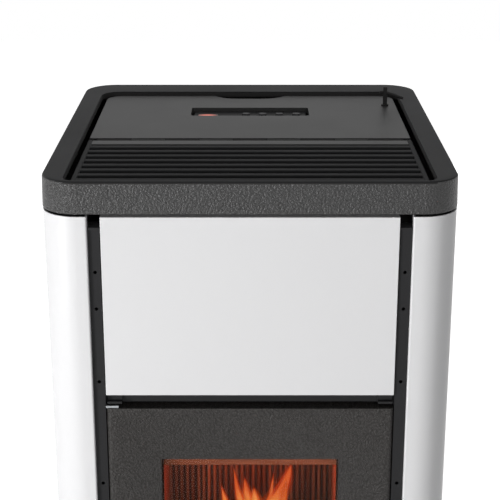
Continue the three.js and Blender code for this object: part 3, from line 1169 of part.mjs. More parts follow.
function makeFirebox() {
  const x = FIREBOX_HALF_WIDTH;
  const t = FIREBOX_PLATE;
  const behind = FIREBOX_REAR_Y - t - THROUGH;
  const shell = cut(
    box(-x, x, FIREBOX_FRONT_Y, FIREBOX_REAR_Y, FIREBOX_BOTTOM, FIREBOX_TOP),
    box(-x + t, x - t, FIREBOX_FRONT_Y + t, FIREBOX_REAR_Y - t, FIREBOX_FLOOR, FIREBOX_TOP - t),
    box(-FIREBOX_MOUTH_HALF, FIREBOX_MOUTH_HALF, FIREBOX_FRONT_Y - THROUGH, FIREBOX_FRONT_Y + t + THROUGH,
      FIREBOX_MOUTH_BOTTOM, FIREBOX_MOUTH_TOP),
    box(-ASH_HOLE_HALF_WIDTH, ASH_HOLE_HALF_WIDTH, ASH_HOLE_FRONT_Y, ASH_HOLE_REAR_Y, 0,
      FIREBOX_FLOOR + THROUGH),
    box(-CHUTE_HALF_WIDTH, CHUTE_HALF_WIDTH, behind, FIREBOX_REAR_Y + THROUGH, CHUTE_DROP_Z,
      CHUTE_DROP_Z + CHUTE_HOLE_HEIGHT),
    airWay(behind, FIREBOX_REAR_Y + THROUGH),
    igniterWay(behind, FIREBOX_REAR_Y + THROUGH),
    ...exchangerTubes(TUBE_RADIUS - TUBE_WALL, FIREBOX_TOP - 2 * t, CASE_HEIGHT),
  );
  place('firebox_shell', shell, finishes.darkSteel);

  const z0 = FIREBOX_FLOOR + SEAT;
  const back = x - t - LINER_THICKNESS - 2 * SEAT;
  const rear = FIREBOX_REAR_Y - t - SEAT;
  const face = rear - LINER_THICKNESS + LINER_RIB_DEPTH;
  const pitch = (2 * back) / LINER_RIB_COUNT;
  const plan = [[back, rear], [-back, rear]];
  for (let i = 0; i < LINER_RIB_COUNT; i += 1) {
    const start = -back + i * pitch;
    plan.push([start, face], [start + pitch * 0.2, face - LINER_RIB_DEPTH]);
    plan.push([start + pitch * 0.6, face - LINER_RIB_DEPTH], [start + pitch * 0.8, face]);
  }
  plan.push([back, face]);
  place('rib_liner_back', cut(
    raise(polygon(plan), z0, LINER_TOP),
    airWay(FIREBOX_FRONT_Y, FIREBOX_REAR_Y),
    igniterWay(FIREBOX_FRONT_Y, FIREBOX_REAR_Y),
  ), finishes.linerSteel);
  // each side liner is a folded tray that stands off the wall, level with the window's edge
  const cheek = { x0: WINDOW_HALF_WIDTH + CHEEK_BEHIND_WINDOW, x1: x - t - SEAT };
  const trayFront = FIREBOX_FRONT_Y + t + SEAT;
  const trayRear = rear - LINER_THICKNESS - SEAT;
  const sideLiner = cut(
    box(cheek.x0, cheek.x1, trayFront, trayRear, z0, LINER_TOP),
    box(cheek.x0 + CHEEK_SHEET, cheek.x1 + THROUGH, trayFront + CHEEK_SHEET, trayRear - CHEEK_SHEET,
      z0 + CHEEK_SHEET, LINER_TOP - CHEEK_SHEET),
  );
  place('side_liner_right', sideLiner, finishes.linerSteel);
  place('side_liner_left', mirrorX(sideLiner), finishes.linerSteel);
}

function makeBurner() {
  const z0 = FIREBOX_FLOOR + SEAT;
  const top = BURN_POT_TOP - BURN_POT_HEIGHT - SEAT;
  const half = BURN_POT_HALF + SUPPORT_MARGIN;
  const w = SUPPORT_WALL;
  const well = SUPPORT_WELL_HALF;
  const slot = AIR_SLOT_HALF;
  const y0 = BURN_POT_Y - half;
  const y1 = BURN_POT_Y + half;
  const support = cut(
    join(
      box(-half, half, ASH_HOLE_FRONT_Y - SUPPORT_MARGIN, ASH_HOLE_REAR_Y + SUPPORT_MARGIN, z0,
        z0 + SUPPORT_PLATE),
      box(-half, half, y0, y1, z0, top),
    ),
    box(-half + w, half - w, y0 + w, y1 - w, z0 + SUPPORT_PLATE, top - w),
    box(-well, well, BURN_POT_Y - well, BURN_POT_Y + well, top - w - THROUGH, top + THROUGH),
    igniterWay(BURN_POT_Y, y1 + THROUGH),
    box(-half - 1, half + 1, BURN_POT_Y - slot, BURN_POT_Y + slot, z0 + AIR_SLOT_BOTTOM,
      z0 + AIR_SLOT_BOTTOM + AIR_SLOT_HEIGHT),
  );
  place('burn_pot_support', support, finishes.darkSteel);
  const low = BURN_POT_TOP - BURN_POT_HEIGHT;
  const holes = [];
  for (const i of [-1, 0, 1]) {
    for (const j of [-1, 0, 1]) {
      const hole = rod(BURN_POT_HOLE_RADIUS, low - THROUGH, low + BURN_POT_WALL + THROUGH, 8);
      holes.push(shift(hole, i * BURN_POT_HOLE_PITCH, BURN_POT_Y + j * BURN_POT_HOLE_PITCH, 0));
    }
  }
  const square = (h) => ({ x0: -h, x1: h, y0: BURN_POT_Y - h, y1: BURN_POT_Y + h });
  const bowl = (d, z) => frustum(square(BURN_POT_HALF - BURN_POT_TAPER - d), z, square(BURN_POT_HALF - d),
    BURN_POT_TOP + (d ? THROUGH : 0));
  place('burn_pot', cut(bowl(0, low), bowl(BURN_POT_WALL, low + BURN_POT_WALL), ...holes), finishes.castIron);
  place('igniter', join(
    rodAlongY(IGNITER_RADIUS, 0, IGNITER_Z, BURN_POT_Y + AIR_SLOT_HALF, FIREBOX_REAR_Y + 2 * IGNITER_RADIUS,
      14),
    rodAlongY(IGNITER_RADIUS + IGNITER_FLANGE, 0, IGNITER_Z, FIREBOX_REAR_Y + SEAT,
      FIREBOX_REAR_Y + IGNITER_FLANGE, 14),
  ), finishes.zincSteel);
}

// The exchanger's upright tubes, as solid rods of a radius between two heights.
function exchangerTubes(radius, z0, z1) {
  const tubes = [];
  for (let row = 0; row < TUBE_ROWS; row += 1) {
    const y = EXCHANGER_Y + (row - (TUBE_ROWS - 1) / 2) * TUBE_PITCH_Y;
    for (let i = 0; i < TUBE_COUNT; i += 1) {
      tubes.push(shift(rod(radius, z0, z1, 8), (i - (TUBE_COUNT - 1) / 2) * TUBE_PITCH_X, y, 0));
    }
  }
  return tubes;
}

function makeExchanger() {
  const x = EXCHANGER_HALF_WIDTH;
  const w = HEADER_WALL;
  const m = ELBOW_MARGIN;
  const z0 = FIREBOX_TOP + SEAT;
  const y0 = EXCHANGER_Y - EXCHANGER_HALF_DEPTH;
  const y1 = EXCHANGER_Y + EXCHANGER_HALF_DEPTH;
  const ductFace = DUCT_X - DUCT_HALF + 1;
  const elbow = (x0, x1, d) => box(x0, x1, EXCHANGER_Y - ELBOW_HALF + d, EXCHANGER_Y + ELBOW_HALF - d,
    HEADER_BOTTOM + m + d, HEADER_TOP - m - d);
  const exchanger = cut(
    join(
      box(-x, x, y0, y1, z0, z0 + EXCHANGER_PLATE),
      box(-x, x, y0, y1, HEADER_BOTTOM, HEADER_TOP),
      elbow(x - 1, ductFace, 0),
      ...exchangerTubes(TUBE_RADIUS, z0, HEADER_BOTTOM + 1),
    ),
    box(-x + w, x - w, y0 + w, y1 - w, HEADER_BOTTOM + w, HEADER_TOP - w),
    elbow(x - 2 * w, ductFace + THROUGH, w),
    ...exchangerTubes(TUBE_RADIUS - TUBE_WALL, 0, HEADER_BOTTOM + 2 * w),
  );

  // smoke duct: down beside the firebox, then back to the flue fan
  const h = DUCT_HALF;
  const t = DUCT_SHEET;
  const fanY = FLUE_FAN_FRONT_Y - SEAT;
  const ductLow = FLUE_Z - h;
  const run = (g) => join(
    box(DUCT_X - h + g, DUCT_X + h - g, EXCHANGER_Y - h + g, EXCHANGER_Y + h - g, ductLow + g,
      HEADER_TOP - DUCT_BELOW_HEADER_TOP - g),
    box(DUCT_X - h + g, DUCT_X + h - g, EXCHANGER_Y - h + g, fanY - g, ductLow + g, FLUE_Z + h - g),
    box(FLUE_X - h + g, DUCT_X + h - g, fanY - 2 * h + g, fanY + (g ? 1 : 0), ductLow + g, FLUE_Z + h - g),
  );
  const duct = cut(
    run(0),
    run(t),
    elbow(DUCT_X - h - THROUGH, DUCT_X - h + t + THROUGH, w),
    box(0, CASE_WIDTH, fanY, CASE_DEPTH, 0, CASE_HEIGHT),
  );
  place('heat_exchanger', join(exchanger, duct), finishes.darkSteel);
}

// A centrifugal wheel about +Z: a disc with a hub and curved blades.
function fanWheel(radius, hub, depth, blades) {
  const pieces = [rod(radius, 0, BLADE_SHEET, 20), rod(hub, 0, depth, 12)];
  for (let i = 0; i < blades; i += 1) {
    const angle = (2 * Math.PI * i) / blades;
    const blade = box(hub * 1.4, radius - 1, -BLADE_SHEET / 2, BLADE_SHEET / 2, 1, depth);
    const turned = new THREE.Matrix4().makeRotationZ(angle)
      .multiply(new THREE.Matrix4().makeTranslation(0, hub * 0.4, 0));
    pieces.push(transformed(blade, turned));
  }
  return join(...pieces);
}

function makeFlue() {
  const y0 = FLUE_FAN_FRONT_Y;
  const y1 = y0 + FLUE_FAN_DEPTH;
  const r = FLUE_FAN_RADIUS;
  const w = FLUE_FAN_WALL;
  const onAxis = (radius, from, to, segments) => rodAlongY(radius, FLUE_X, FLUE_Z, from, to, segments);
  const casing = cut(
    onAxis(r, y0, y1, 24),
    onAxis(r - w, y0 + w, y1 - w, 24),
    onAxis(FLUE_INTAKE_RADIUS, y0 - THROUGH, y0 + w + THROUGH, 16),
    onAxis(FLUE_RADIUS - FLUE_WALL, y1 - w - THROUGH, y1 + THROUGH, 24),
  );
  // a bar across the intake carries the wheel's bearing
  const barHalf = FLUE_INTAKE_RADIUS + THROUGH;
  const bearing = cut(
    join(
      box(FLUE_X - barHalf, FLUE_X + barHalf, y0, y0 + w, FLUE_Z - BEARING_BAR / 2, FLUE_Z + BEARING_BAR / 2),
      onAxis(BEARING_RADIUS, y0, y0 + BEARING_LENGTH, 12),
    ),
    onAxis(FAN_SHAFT_RADIUS + SEAT, y0 - THROUGH, y0 + BEARING_LENGTH + THROUGH, 12),
  );
  // feet of the fan casing stand on the base
  const leg = (x) => box(x - FAN_LEG_WIDTH / 2, x + FAN_LEG_WIDTH / 2, y0 + FAN_HUB_RADIUS, y1 - FAN_HUB_RADIUS,
    BASE_TOP + SEAT, FLUE_Z - Math.sqrt(r * r - FAN_LEG_OFFSET * FAN_LEG_OFFSET) + w);
  const legs = [leg(FLUE_X - FAN_LEG_OFFSET), leg(FLUE_X + FAN_LEG_OFFSET)];
  place('flue_fan_housing', join(casing, bearing, ...legs), finishes.zincSteel);
  const wheel = join(
    fanWheel(FLUE_WHEEL_RADIUS, FAN_HUB_RADIUS, FLUE_WHEEL_DEPTH, FAN_BLADES),
    rod(FAN_SHAFT_RADIUS, -FLUE_WHEEL_SETBACK + RUNNING, 1, 12),
  );
  const wheelFrame = new THREE.Matrix4().makeRotationX(-Math.PI / 2)
    .setPosition(FLUE_X, y0 + FLUE_WHEEL_SETBACK, FLUE_Z);
  place('flue_fan_wheel', transformed(wheel, wheelFrame), finishes.zincSteel);
  const rear = REAR_Y + FLUE_REACH;
  place('flue_outlet', cut(
    join(
      onAxis(FLUE_RADIUS, y1 + SEAT, rear, 24),
      onAxis(FLUE_RADIUS + FLUE_FLANGE, y1 + SEAT, y1 + w + 1, 24),
    ),
    onAxis(FLUE_RADIUS - FLUE_WALL, y1 - THROUGH, rear + THROUGH, 24),
  ), finishes.darkPaint);
  const airEnd = REAR_Y + AIR_INLET_REACH;
  place('air_inlet', cut(
    rodAlongY(AIR_INLET_RADIUS, AIR_INLET_X, AIR_INLET_Z, FIREBOX_REAR_Y - FIREBOX_PLATE, airEnd, 20),
    rodAlongY(AIR_INLET_RADIUS - AIR_INLET_WALL, AIR_INLET_X, AIR_INLET_Z, FIREBOX_FRONT_Y, airEnd + THROUGH,
      20),
  ), finishes.zincSteel);
}

// ---------------------------------------------------------------- room fan and electrics

function makeRoomFan() {
  const { x, y, z, r, half } = {
    x: ROOM_FAN_X, y: ROOM_FAN_Y, z: ROOM_FAN_Z, r: ROOM_FAN_RADIUS, half: ROOM_FAN_LENGTH / 2,
  };
  const t = FAN_SHEET;
  const outer = r + ROOM_FAN_CLEARANCE;
  const back = y - 3 * t;
  const riser = z + outer + ROOM_FAN_RISER;
  const wallX = half - t;
  // scroll: open towards the louvres at the rear and upwards beside the firebox
  const scroll = cut(
    join(
      rodAlongX(outer, y, z, x - half, x + half, 20),
      box(x - half, x + half, y - outer, back, z, riser),
    ),
    rodAlongX(outer - t, y, z, x - wallX, x + wallX, 20),
    box(x - wallX, x + wallX, y - outer + t, back - t, z, riser + THROUGH),
    box(x - wallX, x + wallX, y, y + outer + THROUGH, z - 2 * t, z + outer + THROUGH),
    rodAlongX(FAN_SHAFT_RADIUS + SEAT, y, z, x - half - THROUGH, x + half + THROUGH, 12),
  );
  const standHalf = outer / 2;
  const standTop = z - Math.sqrt(outer * outer - standHalf * standHalf) + t;
  const stand = (at) => box(at - t, at + t, y - standHalf, y + standHalf, BASE_TOP + SEAT, standTop);
  const stands = [stand(x - half + ROOM_FAN_CLEARANCE), stand(x + half - ROOM_FAN_CLEARANCE)];
  place('room_fan_housing', join(scroll, ...stands), finishes.zincSteel);
  const blades = [];
  const length = half - ROOM_FAN_CLEARANCE;
  for (let i = 0; i < ROOM_FAN_BLADES; i += 1) {
    const blade = box(r - ROOM_FAN_CLEARANCE, r - 1, -t * 0.4, t * 0.4, -length, length);
    blades.push(transformed(blade, new THREE.Matrix4().makeRotationZ((2 * Math.PI * i) / ROOM_FAN_BLADES)));
  }
  const discs = [-length, length - t].map((at) => rod(r, at, at + t, 2 * ROOM_FAN_BLADES));
  const wheel = join(...blades, ...discs, rod(FAN_SHAFT_RADIUS, -half + SEAT, half - SEAT, 12));
  const frame = new THREE.Matrix4().makeRotationY(Math.PI / 2).setPosition(x, y, z);
  place('room_fan_wheel', transformed(wheel, frame), finishes.zincSteel);
}

function makeElectrics() {
  const x0 = -INSIDE_X;
  const b = BOARD_SIZE;
  const ear = BOARD_EAR;
  const board = join(
    box(x0, x0 + b.x, BOARD_Y - b.y / 2, BOARD_Y + b.y / 2, BOARD_Z - b.z / 2, BOARD_Z + b.z / 2),
    box(x0, x0 + ear.x, BOARD_Y - b.y / 2 - ear.y, BOARD_Y + b.y / 2 + ear.y, BOARD_Z - ear.z / 2,
      BOARD_Z + ear.z / 2),
  );
  place('control_board', board, finishes.plastic);

  // appliance socket: a body through the rear panel and a rim on its face
  const face = REAR_Y - PANEL_INSET;
  const px = POWER_HALF.x;
  const pz = POWER_HALF.z;
  const w = POWER_WALL;
  const rim = w + SEAT;
  const block = (x, hx, hz, ya, yb) => box(x - hx, x + hx, ya, yb, POWER_Z - hz, POWER_Z + hz);
  const inlet = cut(
    join(
      block(POWER_X, px, pz, face - POWER_DEPTH, face),
      block(POWER_X, px + POWER_RIM, pz + POWER_RIM, face + SEAT, face + rim),
      block(POWER_X, px - w / 2, pz - w / 2, face - w, face + rim),
    ),
    block(POWER_X, px - w, pz - w, face - POWER_DEPTH + 3 * w, face + rim + THROUGH),
  );
  const pin = (dx, dz) => box(POWER_X + dx - w / 2, POWER_X + dx + w / 2, face - POWER_DEPTH + 2 * w,
    face - 2 * w, POWER_Z + dz - w, POWER_Z + dz + w);

  // the switch's bezel is one moulding with the socket
  const sx = SWITCH_X;
  const hx = SWITCH_HALF.x;
  const hz = SWITCH_HALF.z;
  const pinY = face - SWITCH_PIN_DEPTH;
  const bezel = cut(
    join(
      block(sx, hx, hz, face - SWITCH_DEPTH, face + w / 2),
      box(sx - hx - w, POWER_X - px - 1, face + SEAT, face + w, POWER_Z - pz, POWER_Z + pz),
    ),
    block(sx, hx - SWITCH_WALL, hz - SWITCH_WALL, face - SWITCH_DEPTH + w, face + w + THROUGH),
    rodAlongX(SWITCH_PIN_RADIUS + SEAT, pinY, POWER_Z, sx - hx + SWITCH_WALL / 2, sx + hx - SWITCH_WALL / 2,
      10),
  );
  const pins = [pin(-px / 2, -w / 2), pin(px / 2, -w / 2), pin(0, w)];
  place('power_inlet', join(inlet, bezel, ...pins), finishes.plastic);
  // rocker cap on a cross pin, its face a shallow V
  const capHalf = hx - SWITCH_WALL - SWITCH_GAP;
  const lobe = hz - SWITCH_WALL - SWITCH_GAP - SWITCH_WALL / 4;
  const rocker = polygon([[face - 9, POWER_Z - 3], [face + 2.5, POWER_Z - lobe], [face + 0.5, POWER_Z],
    [face + 2.5, POWER_Z + lobe], [face - 9, POWER_Z + 3]]);
  place('power_switch', join(
    draw(rocker, sx - capHalf, sx + capHalf),
    rodAlongX(SWITCH_PIN_RADIUS, pinY, POWER_Z, sx - hx + 1, sx + hx - 1, 10),
  ), finishes.plastic);
}

// ---------------------------------------------------------------- controls under the lid

function makeControls() {
  const y0 = (LID_SLOT_FRONT_Y + LID_SLOT_REAR_Y - CONTROL_DEPTH) / 2;
  const y1 = y0 + CONTROL_DEPTH;
  const yMid = (y0 + y1) / 2;
  const top = LID_PLATE_BOTTOM - CONTROL_BELOW_LID;
  const x = CONTROL_HALF_WIDTH;
  const w = CONTROL_WALL;
  const dx = DISPLAY_HALF.x;
  const dy = DISPLAY_HALF.y;
  const bores = [];
  for (let i = 0; i < BUTTON_COUNT; i += 1) {
    const bore = rod(BUTTON_RADIUS + SEAT, top - BUTTON_BORE_DEPTH, CASE_HEIGHT, 12);
    bores.push(shift(bore, BUTTON_FIRST_X + i * BUTTON_PITCH, yMid, 0));
  }
  const housing = cut(
    join(
      box(-x, x, y0, y1, DECK_TOP + SEAT, top),
      box(-x - CONTROL_FOOT, x + CONTROL_FOOT, y0, y1, DECK_TOP + SEAT, DECK_TOP + SEAT + HOPPER_SHEET),
    ),
    box(-x + w, x - w, y0 - THROUGH, y1 - w, DECK_TOP - 1, top - BUTTON_BORE_DEPTH - w - 1),
    box(DISPLAY_X - dx - SEAT, DISPLAY_X + dx + SEAT, yMid - dy - SEAT, yMid + dy + SEAT, top - DISPLAY_RECESS,
      top + THROUGH),
    ...bores,
  );
  place('control_panel', housing, finishes.plastic);
  const lens = raise(roundedRectangle(DISPLAY_X - dx, DISPLAY_X + dx, yMid - dy, yMid + dy, 2),
    top - DISPLAY_RECESS + SEAT, top + DISPLAY_PROUD, 3);
  place('display_lens', lens, finishes.redLens);
  for (let i = 0; i < BUTTON_COUNT; i += 1) {
    const low = top - BUTTON_BORE_DEPTH + SEAT + BUTTON_TRAVEL;
    const high = top + BUTTON_HEIGHT;
    const cap = turn([[0, low], [BUTTON_RADIUS, low], [BUTTON_RADIUS, high - 1], [BUTTON_RADIUS - 1, high],
      [0, high - BUTTON_TRAVEL / 2]], 12);
    place(`button_${i + 1}`, shift(cap, BUTTON_FIRST_X + i * BUTTON_PITCH, yMid, 0), finishes.keyPlastic);
  }
}

// ---------------------------------------------------------------- door

const DOOR_HINGE_X = -FRONT_HALF_WIDTH + DOOR_HINGE_IN;
const DOOR_HINGE_Y = FRONT_FACE_Y + DOOR_HINGE_BACK;

// A tapering hole between a front and a back rectangle, {x, z0, z1} with half-width x.
function taperedHole(front, y0, back, y1) {
  const side = (r) => ({ x0: -r.x, x1: r.x, y0: r.z0, y1: r.z1 });
  const upright = frustum(side(back), -y1, side(front), -y0);
  return transformed(upright, new THREE.Matrix4().makeRotationX(Math.PI / 2));
}

function doorRing(outer, inner, y0, y1) {
  return cut(
    box(-outer.x, outer.x, y0, y1, outer.z0, outer.z1),
    box(-inner.x, inner.x, y0 - 1, y1 + 1, inner.z0, inner.z1),
  );
}

function around(rectangle, distance) {
  return { x: rectangle.x + distance, z0: rectangle.z0 - distance, z1: rectangle.z1 + distance };
}

function makeDoor() {
  const outline = { x: FRONT_HALF_WIDTH, z0: DOOR_BOTTOM, z1: DOOR_TOP };
  const windowEdge = { x: WINDOW_HALF_WIDTH, z0: WINDOW_BOTTOM, z1: WINDOW_TOP };
  const mouth = { x: FIREBOX_HALF_WIDTH, z0: FIREBOX_BOTTOM, z1: FIREBOX_TOP };
  const slopeEnd = FRONT_FACE_Y + DOOR_SLOPE_DEPTH;
  const gasketPath = around(mouth, -GASKET_INSET);
  const half = GASKET_WIDTH / 2;
  const groove = doorRing(around(gasketPath, half + SEAT), around(gasketPath, -half - SEAT),
    DOOR_BACK_Y - GASKET_GROOVE, DOOR_BACK_Y + THROUGH);
  const slab = raise(roundedRectangle(-outline.x, outline.x, FRONT_FACE_Y, DOOR_BACK_Y, DOOR_EDGE_RADIUS, 1),
    outline.z0, outline.z1, 4);
  const pinHole = (z0, z1) => shift(rod(HINGE_PIN_RADIUS + SEAT, z0, z1, 12), DOOR_HINGE_X, DOOR_HINGE_Y, 0);
  const glassBack = DOOR_BACK_Y - GLASS_RECESS;
  const pinRoom = HINGE_PIN_DEPTH + 2;
  const door = cut(
    slab,
    taperedHole(around(outline, -DOOR_SLOPE_START), FRONT_FACE_Y - 0.01, windowEdge, slopeEnd),
    box(-windowEdge.x, windowEdge.x, FRONT_FACE_Y - 1, DOOR_BACK_Y + 1, windowEdge.z0, windowEdge.z1),
    doorRing(around(windowEdge, GLASS_MARGIN + SEAT), around(windowEdge, -THROUGH),
      glassBack - GLASS_THICKNESS - SEAT, DOOR_BACK_Y + THROUGH),
    groove,
    pinHole(DOOR_BOTTOM - THROUGH, DOOR_BOTTOM + pinRoom),
    pinHole(DOOR_TOP - pinRoom, DOOR_TOP + THROUGH),
    rodAlongY(SPINDLE_RADIUS + SEAT, HANDLE_X, HANDLE_Z, FRONT_FACE_Y - 1, DOOR_BACK_Y + 1, 12),
  );
  place('door_frame', door, finishes.castIron);
  const glass = around(windowEdge, GLASS_MARGIN);
  place('door_glass', box(-glass.x, glass.x, glassBack - GLASS_THICKNESS, glassBack, glass.z0, glass.z1),
    finishes.ceramicGlass);
  const inner = around(windowEdge, -RETAINER_LIP);
  const retainer = doorRing(around(windowEdge, RETAINER_WIDTH), inner, DOOR_BACK_Y + SEAT,
    DOOR_BACK_Y + SEAT + RETAINER_SHEET);
  const lip = doorRing(around(windowEdge, GLASS_MARGIN), inner, glassBack + SEAT, DOOR_BACK_Y + 2 * SEAT);
  place('glass_retainer', join(retainer, lip), finishes.zincSteel);
  place('door_gasket', doorRing(around(gasketPath, GASKET_WIDTH / 2), around(gasketPath, -GASKET_WIDTH / 2),
    DOOR_BACK_Y - GASKET_GROOVE + SEAT, FIREBOX_FRONT_Y - SEAT), finishes.fibre);

  // handle: lever, rosette and spindle in one, with the latch tongue behind the door
  const rosette = rodAlongY(ROSETTE_RADIUS, HANDLE_X, HANDLE_Z, FRONT_FACE_Y - ROSETTE_HEIGHT,
    FRONT_FACE_Y - SEAT, 16);
  const barY = FRONT_Y - HANDLE_REACH;
  const tongueY = DOOR_BACK_Y + TONGUE_GAP;
  const spindle = rodAlongY(SPINDLE_RADIUS, HANDLE_X, HANDLE_Z, barY + HANDLE_THICKNESS / 3,
    tongueY + TONGUE_THICKNESS, 12);
  const leverTop = HANDLE_Z + HANDLE_ABOVE_SPINDLE;
  const lever = roundedRectangle(HANDLE_X - HANDLE_WIDTH / 2, HANDLE_X + HANDLE_WIDTH / 2,
    leverTop - HANDLE_LENGTH, leverTop, HANDLE_WIDTH / 2 - 1);
  const bar = pull(lever, barY, barY + HANDLE_THICKNESS, 5);
  const tongue = box(HANDLE_X - TONGUE_HALF_WIDTH, HANDLE_X + TONGUE_HALF_WIDTH, tongueY,
    tongueY + TONGUE_THICKNESS, HANDLE_Z - TONGUE_HALF_WIDTH, HANDLE_Z + TONGUE_LENGTH);
  place('door_handle', join(rosette, spindle, bar, tongue), finishes.zincSteel);
  const keeperX = POST_INNER_X - SEAT;
  const k = KEEPER_HALF_HEIGHT;
  place('latch_keeper', join(
    box(keeperX - KEEPER_DEPTH, keeperX, DOOR_BACK_Y + SEAT, tongueY - SEAT, HANDLE_Z - k, HANDLE_Z + k),
    box(keeperX - KEEPER_DEPTH / 2, keeperX, DOOR_BACK_Y + SEAT, tongueY + TONGUE_THICKNESS + TONGUE_GAP,
      HANDLE_Z - 1.5 * k, HANDLE_Z - TONGUE_HALF_WIDTH - RUNNING),
  ), finishes.zincSteel);

  for (const [name, plateZ, pinZ0, pinZ1] of [
    ['upper', DOOR_TOP + SEAT, DOOR_TOP - HINGE_PIN_DEPTH, DOOR_TOP + BRACKET_SHEET],
    ['lower', DOOR_BOTTOM - SEAT - BRACKET_SHEET, DOOR_BOTTOM - BRACKET_SHEET, DOOR_BOTTOM + HINGE_PIN_DEPTH],
  ]) {
    place(`hinge_bracket_${name}`, join(
      box(-POST_INNER_X + SEAT, DOOR_HINGE_X + BRACKET_SIDE, DOOR_HINGE_Y - BRACKET_FRONT,
        DOOR_HINGE_Y + BRACKET_REAR, plateZ, plateZ + BRACKET_SHEET),
      shift(rod(HINGE_PIN_RADIUS, pinZ0, pinZ1, 12), DOOR_HINGE_X, DOOR_HINGE_Y, 0),
    ), finishes.zincSteel);
  }
}

// ---------------------------------------------------------------- ash drawer

function makeDrawer() {
  const front = TRAY_BACK_Y;
  const x = DRAWER_HALF_WIDTH;
  const t = DRAWER_SHEET;
  // the front wall is a wider plate that carries the enamelled front all round
  const wide = FRONT_HALF_WIDTH - RUNNING;
  place('ash_drawer', cut(
    join(
      box(-x, x, front, DRAWER_REAR_Y, DRAWER_BOTTOM, DRAWER_TOP),
      box(-wide, wide, front, front + t, DRAWER_FRONT_BOTTOM + 1, DRAWER_FRONT_TOP - GRIP_HEIGHT - t),
    ),
    box(-x + t, x - t, front + t, DRAWER_REAR_Y - t, DRAWER_BOTTOM + t, DRAWER_TOP + 1),
  ), finishes.zincSteel);
  const grip = roundedRectangle(-GRIP_HALF_WIDTH, GRIP_HALF_WIDTH, DRAWER_FRONT_TOP - GRIP_HEIGHT,
    DRAWER_FRONT_TOP + GRIP_HEIGHT, GRIP_RADIUS);
  place('ash_drawer_front', cut(
    frontTray(DRAWER_FRONT_BOTTOM, DRAWER_FRONT_TOP),
    pull(grip, FRONT_Y, TRAY_BACK_Y, 4),
  ), finishes.whiteEnamel);
  const stand = join(
    box(STAND_X, STAND_X + STAND_SHEET, FIREBOX_FRONT_Y, FIREBOX_REAR_Y, BASE_TOP + SEAT,
      FIREBOX_BOTTOM - SEAT),
    box(STAND_X - RUNNER_WIDTH, STAND_X + 1, FIREBOX_FRONT_Y, FIREBOX_REAR_Y,
      DRAWER_BOTTOM - SEAT - RUNNER_SHEET, DRAWER_BOTTOM - SEAT),
  );
  place('firebox_stand_right', stand, finishes.darkSteel);
  place('firebox_stand_left', mirrorX(stand), finishes.darkSteel);
}

// ---------------------------------------------------------------- assembly

makeBase(makeFeet());
makePosts();
makeSidePanels();
makeUpperPanel();
makeRearPanel();
makeDeck();
makeRim();
makeGrille();
makeLid();
makeCatch();
makeHopper();
makeAuger();
makeChute();
makeFirebox();
makeBurner();
makeExchanger();
makeFlue();
makeRoomFan();
makeElectrics();
makeControls();
makeDoor();
makeDrawer();

export default assembly;
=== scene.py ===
# %% [markdown]
# # A pellet stove, dressed
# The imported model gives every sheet, casting and shaft at its real size. This lesson adds what the
# eye judges: the camera of the picture, a studio, enamel, cast iron, glass and fire. Each step first
# says what the piece is on the real stove, how it could be made, and why one way was chosen.

# %% Load the frame
import json
import math
import random

import bmesh
import bpy
from mathutils import Matrix, Vector

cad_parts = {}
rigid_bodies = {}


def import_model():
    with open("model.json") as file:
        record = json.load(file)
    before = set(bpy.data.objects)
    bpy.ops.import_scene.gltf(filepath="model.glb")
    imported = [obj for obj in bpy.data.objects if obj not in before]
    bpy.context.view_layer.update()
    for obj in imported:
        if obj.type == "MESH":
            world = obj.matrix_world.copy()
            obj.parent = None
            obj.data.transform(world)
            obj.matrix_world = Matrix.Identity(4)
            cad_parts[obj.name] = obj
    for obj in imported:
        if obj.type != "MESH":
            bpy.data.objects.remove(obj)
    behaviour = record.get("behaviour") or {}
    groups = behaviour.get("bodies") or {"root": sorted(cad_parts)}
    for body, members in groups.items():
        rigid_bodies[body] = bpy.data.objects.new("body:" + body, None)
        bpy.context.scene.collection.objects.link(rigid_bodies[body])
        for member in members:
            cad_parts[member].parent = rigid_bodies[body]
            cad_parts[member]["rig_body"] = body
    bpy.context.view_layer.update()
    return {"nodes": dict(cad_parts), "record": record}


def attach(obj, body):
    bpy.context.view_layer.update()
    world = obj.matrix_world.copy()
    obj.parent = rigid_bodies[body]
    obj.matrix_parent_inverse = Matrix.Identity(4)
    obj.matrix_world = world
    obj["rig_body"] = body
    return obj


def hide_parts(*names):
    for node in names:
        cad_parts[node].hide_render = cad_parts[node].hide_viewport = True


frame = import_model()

MM = 0.001

# %% [markdown]
# ## Camera
# The picture looks down at the stove's top from the front, with a long lens. Its depth lines meet
# well above the frame. Shifting the lens could hold the uprights parallel, but then every other view
# would be off centre, so the camera is tilted instead and the uprights draw together very slightly.

# %% Camera
CAMERA_PLACE = (0.0, -1.800, 1.397)
CAMERA_TILT = 18.85  # degrees below the horizon
SENSOR_WIDTH = 36.0
IMAGE_WIDTH = 500
FOCAL_PIXELS = 1359.0


def add_camera():
    data = bpy.data.cameras.new("stove_camera")
    data.sensor_width = SENSOR_WIDTH
    data.lens = FOCAL_PIXELS / IMAGE_WIDTH * SENSOR_WIDTH
    data.clip_start = 0.05
    data.clip_end = 60.0
    camera = bpy.data.objects.new("stove_camera", data)
    camera.location = CAMERA_PLACE
    camera.rotation_euler = (math.radians(90.0 - CAMERA_TILT), 0.0, 0.0)
    bpy.context.scene.collection.objects.link(camera)
    bpy.context.scene.camera = camera
    print("lens", round(data.lens, 1), "mm")


add_camera()

# %% [markdown]
# ## Colour and nodes
# Colours are written as they look on a screen, in sRGB. The renderer adds light in linear values, so
# one function turns each hex value to linear. One more function adds a shader node with its settings
# and its links in one line, which keeps every finish short enough to read. Patterns are given by the
# real size of their grain in millimetres, and read Object coordinates, so they stay on the piece.


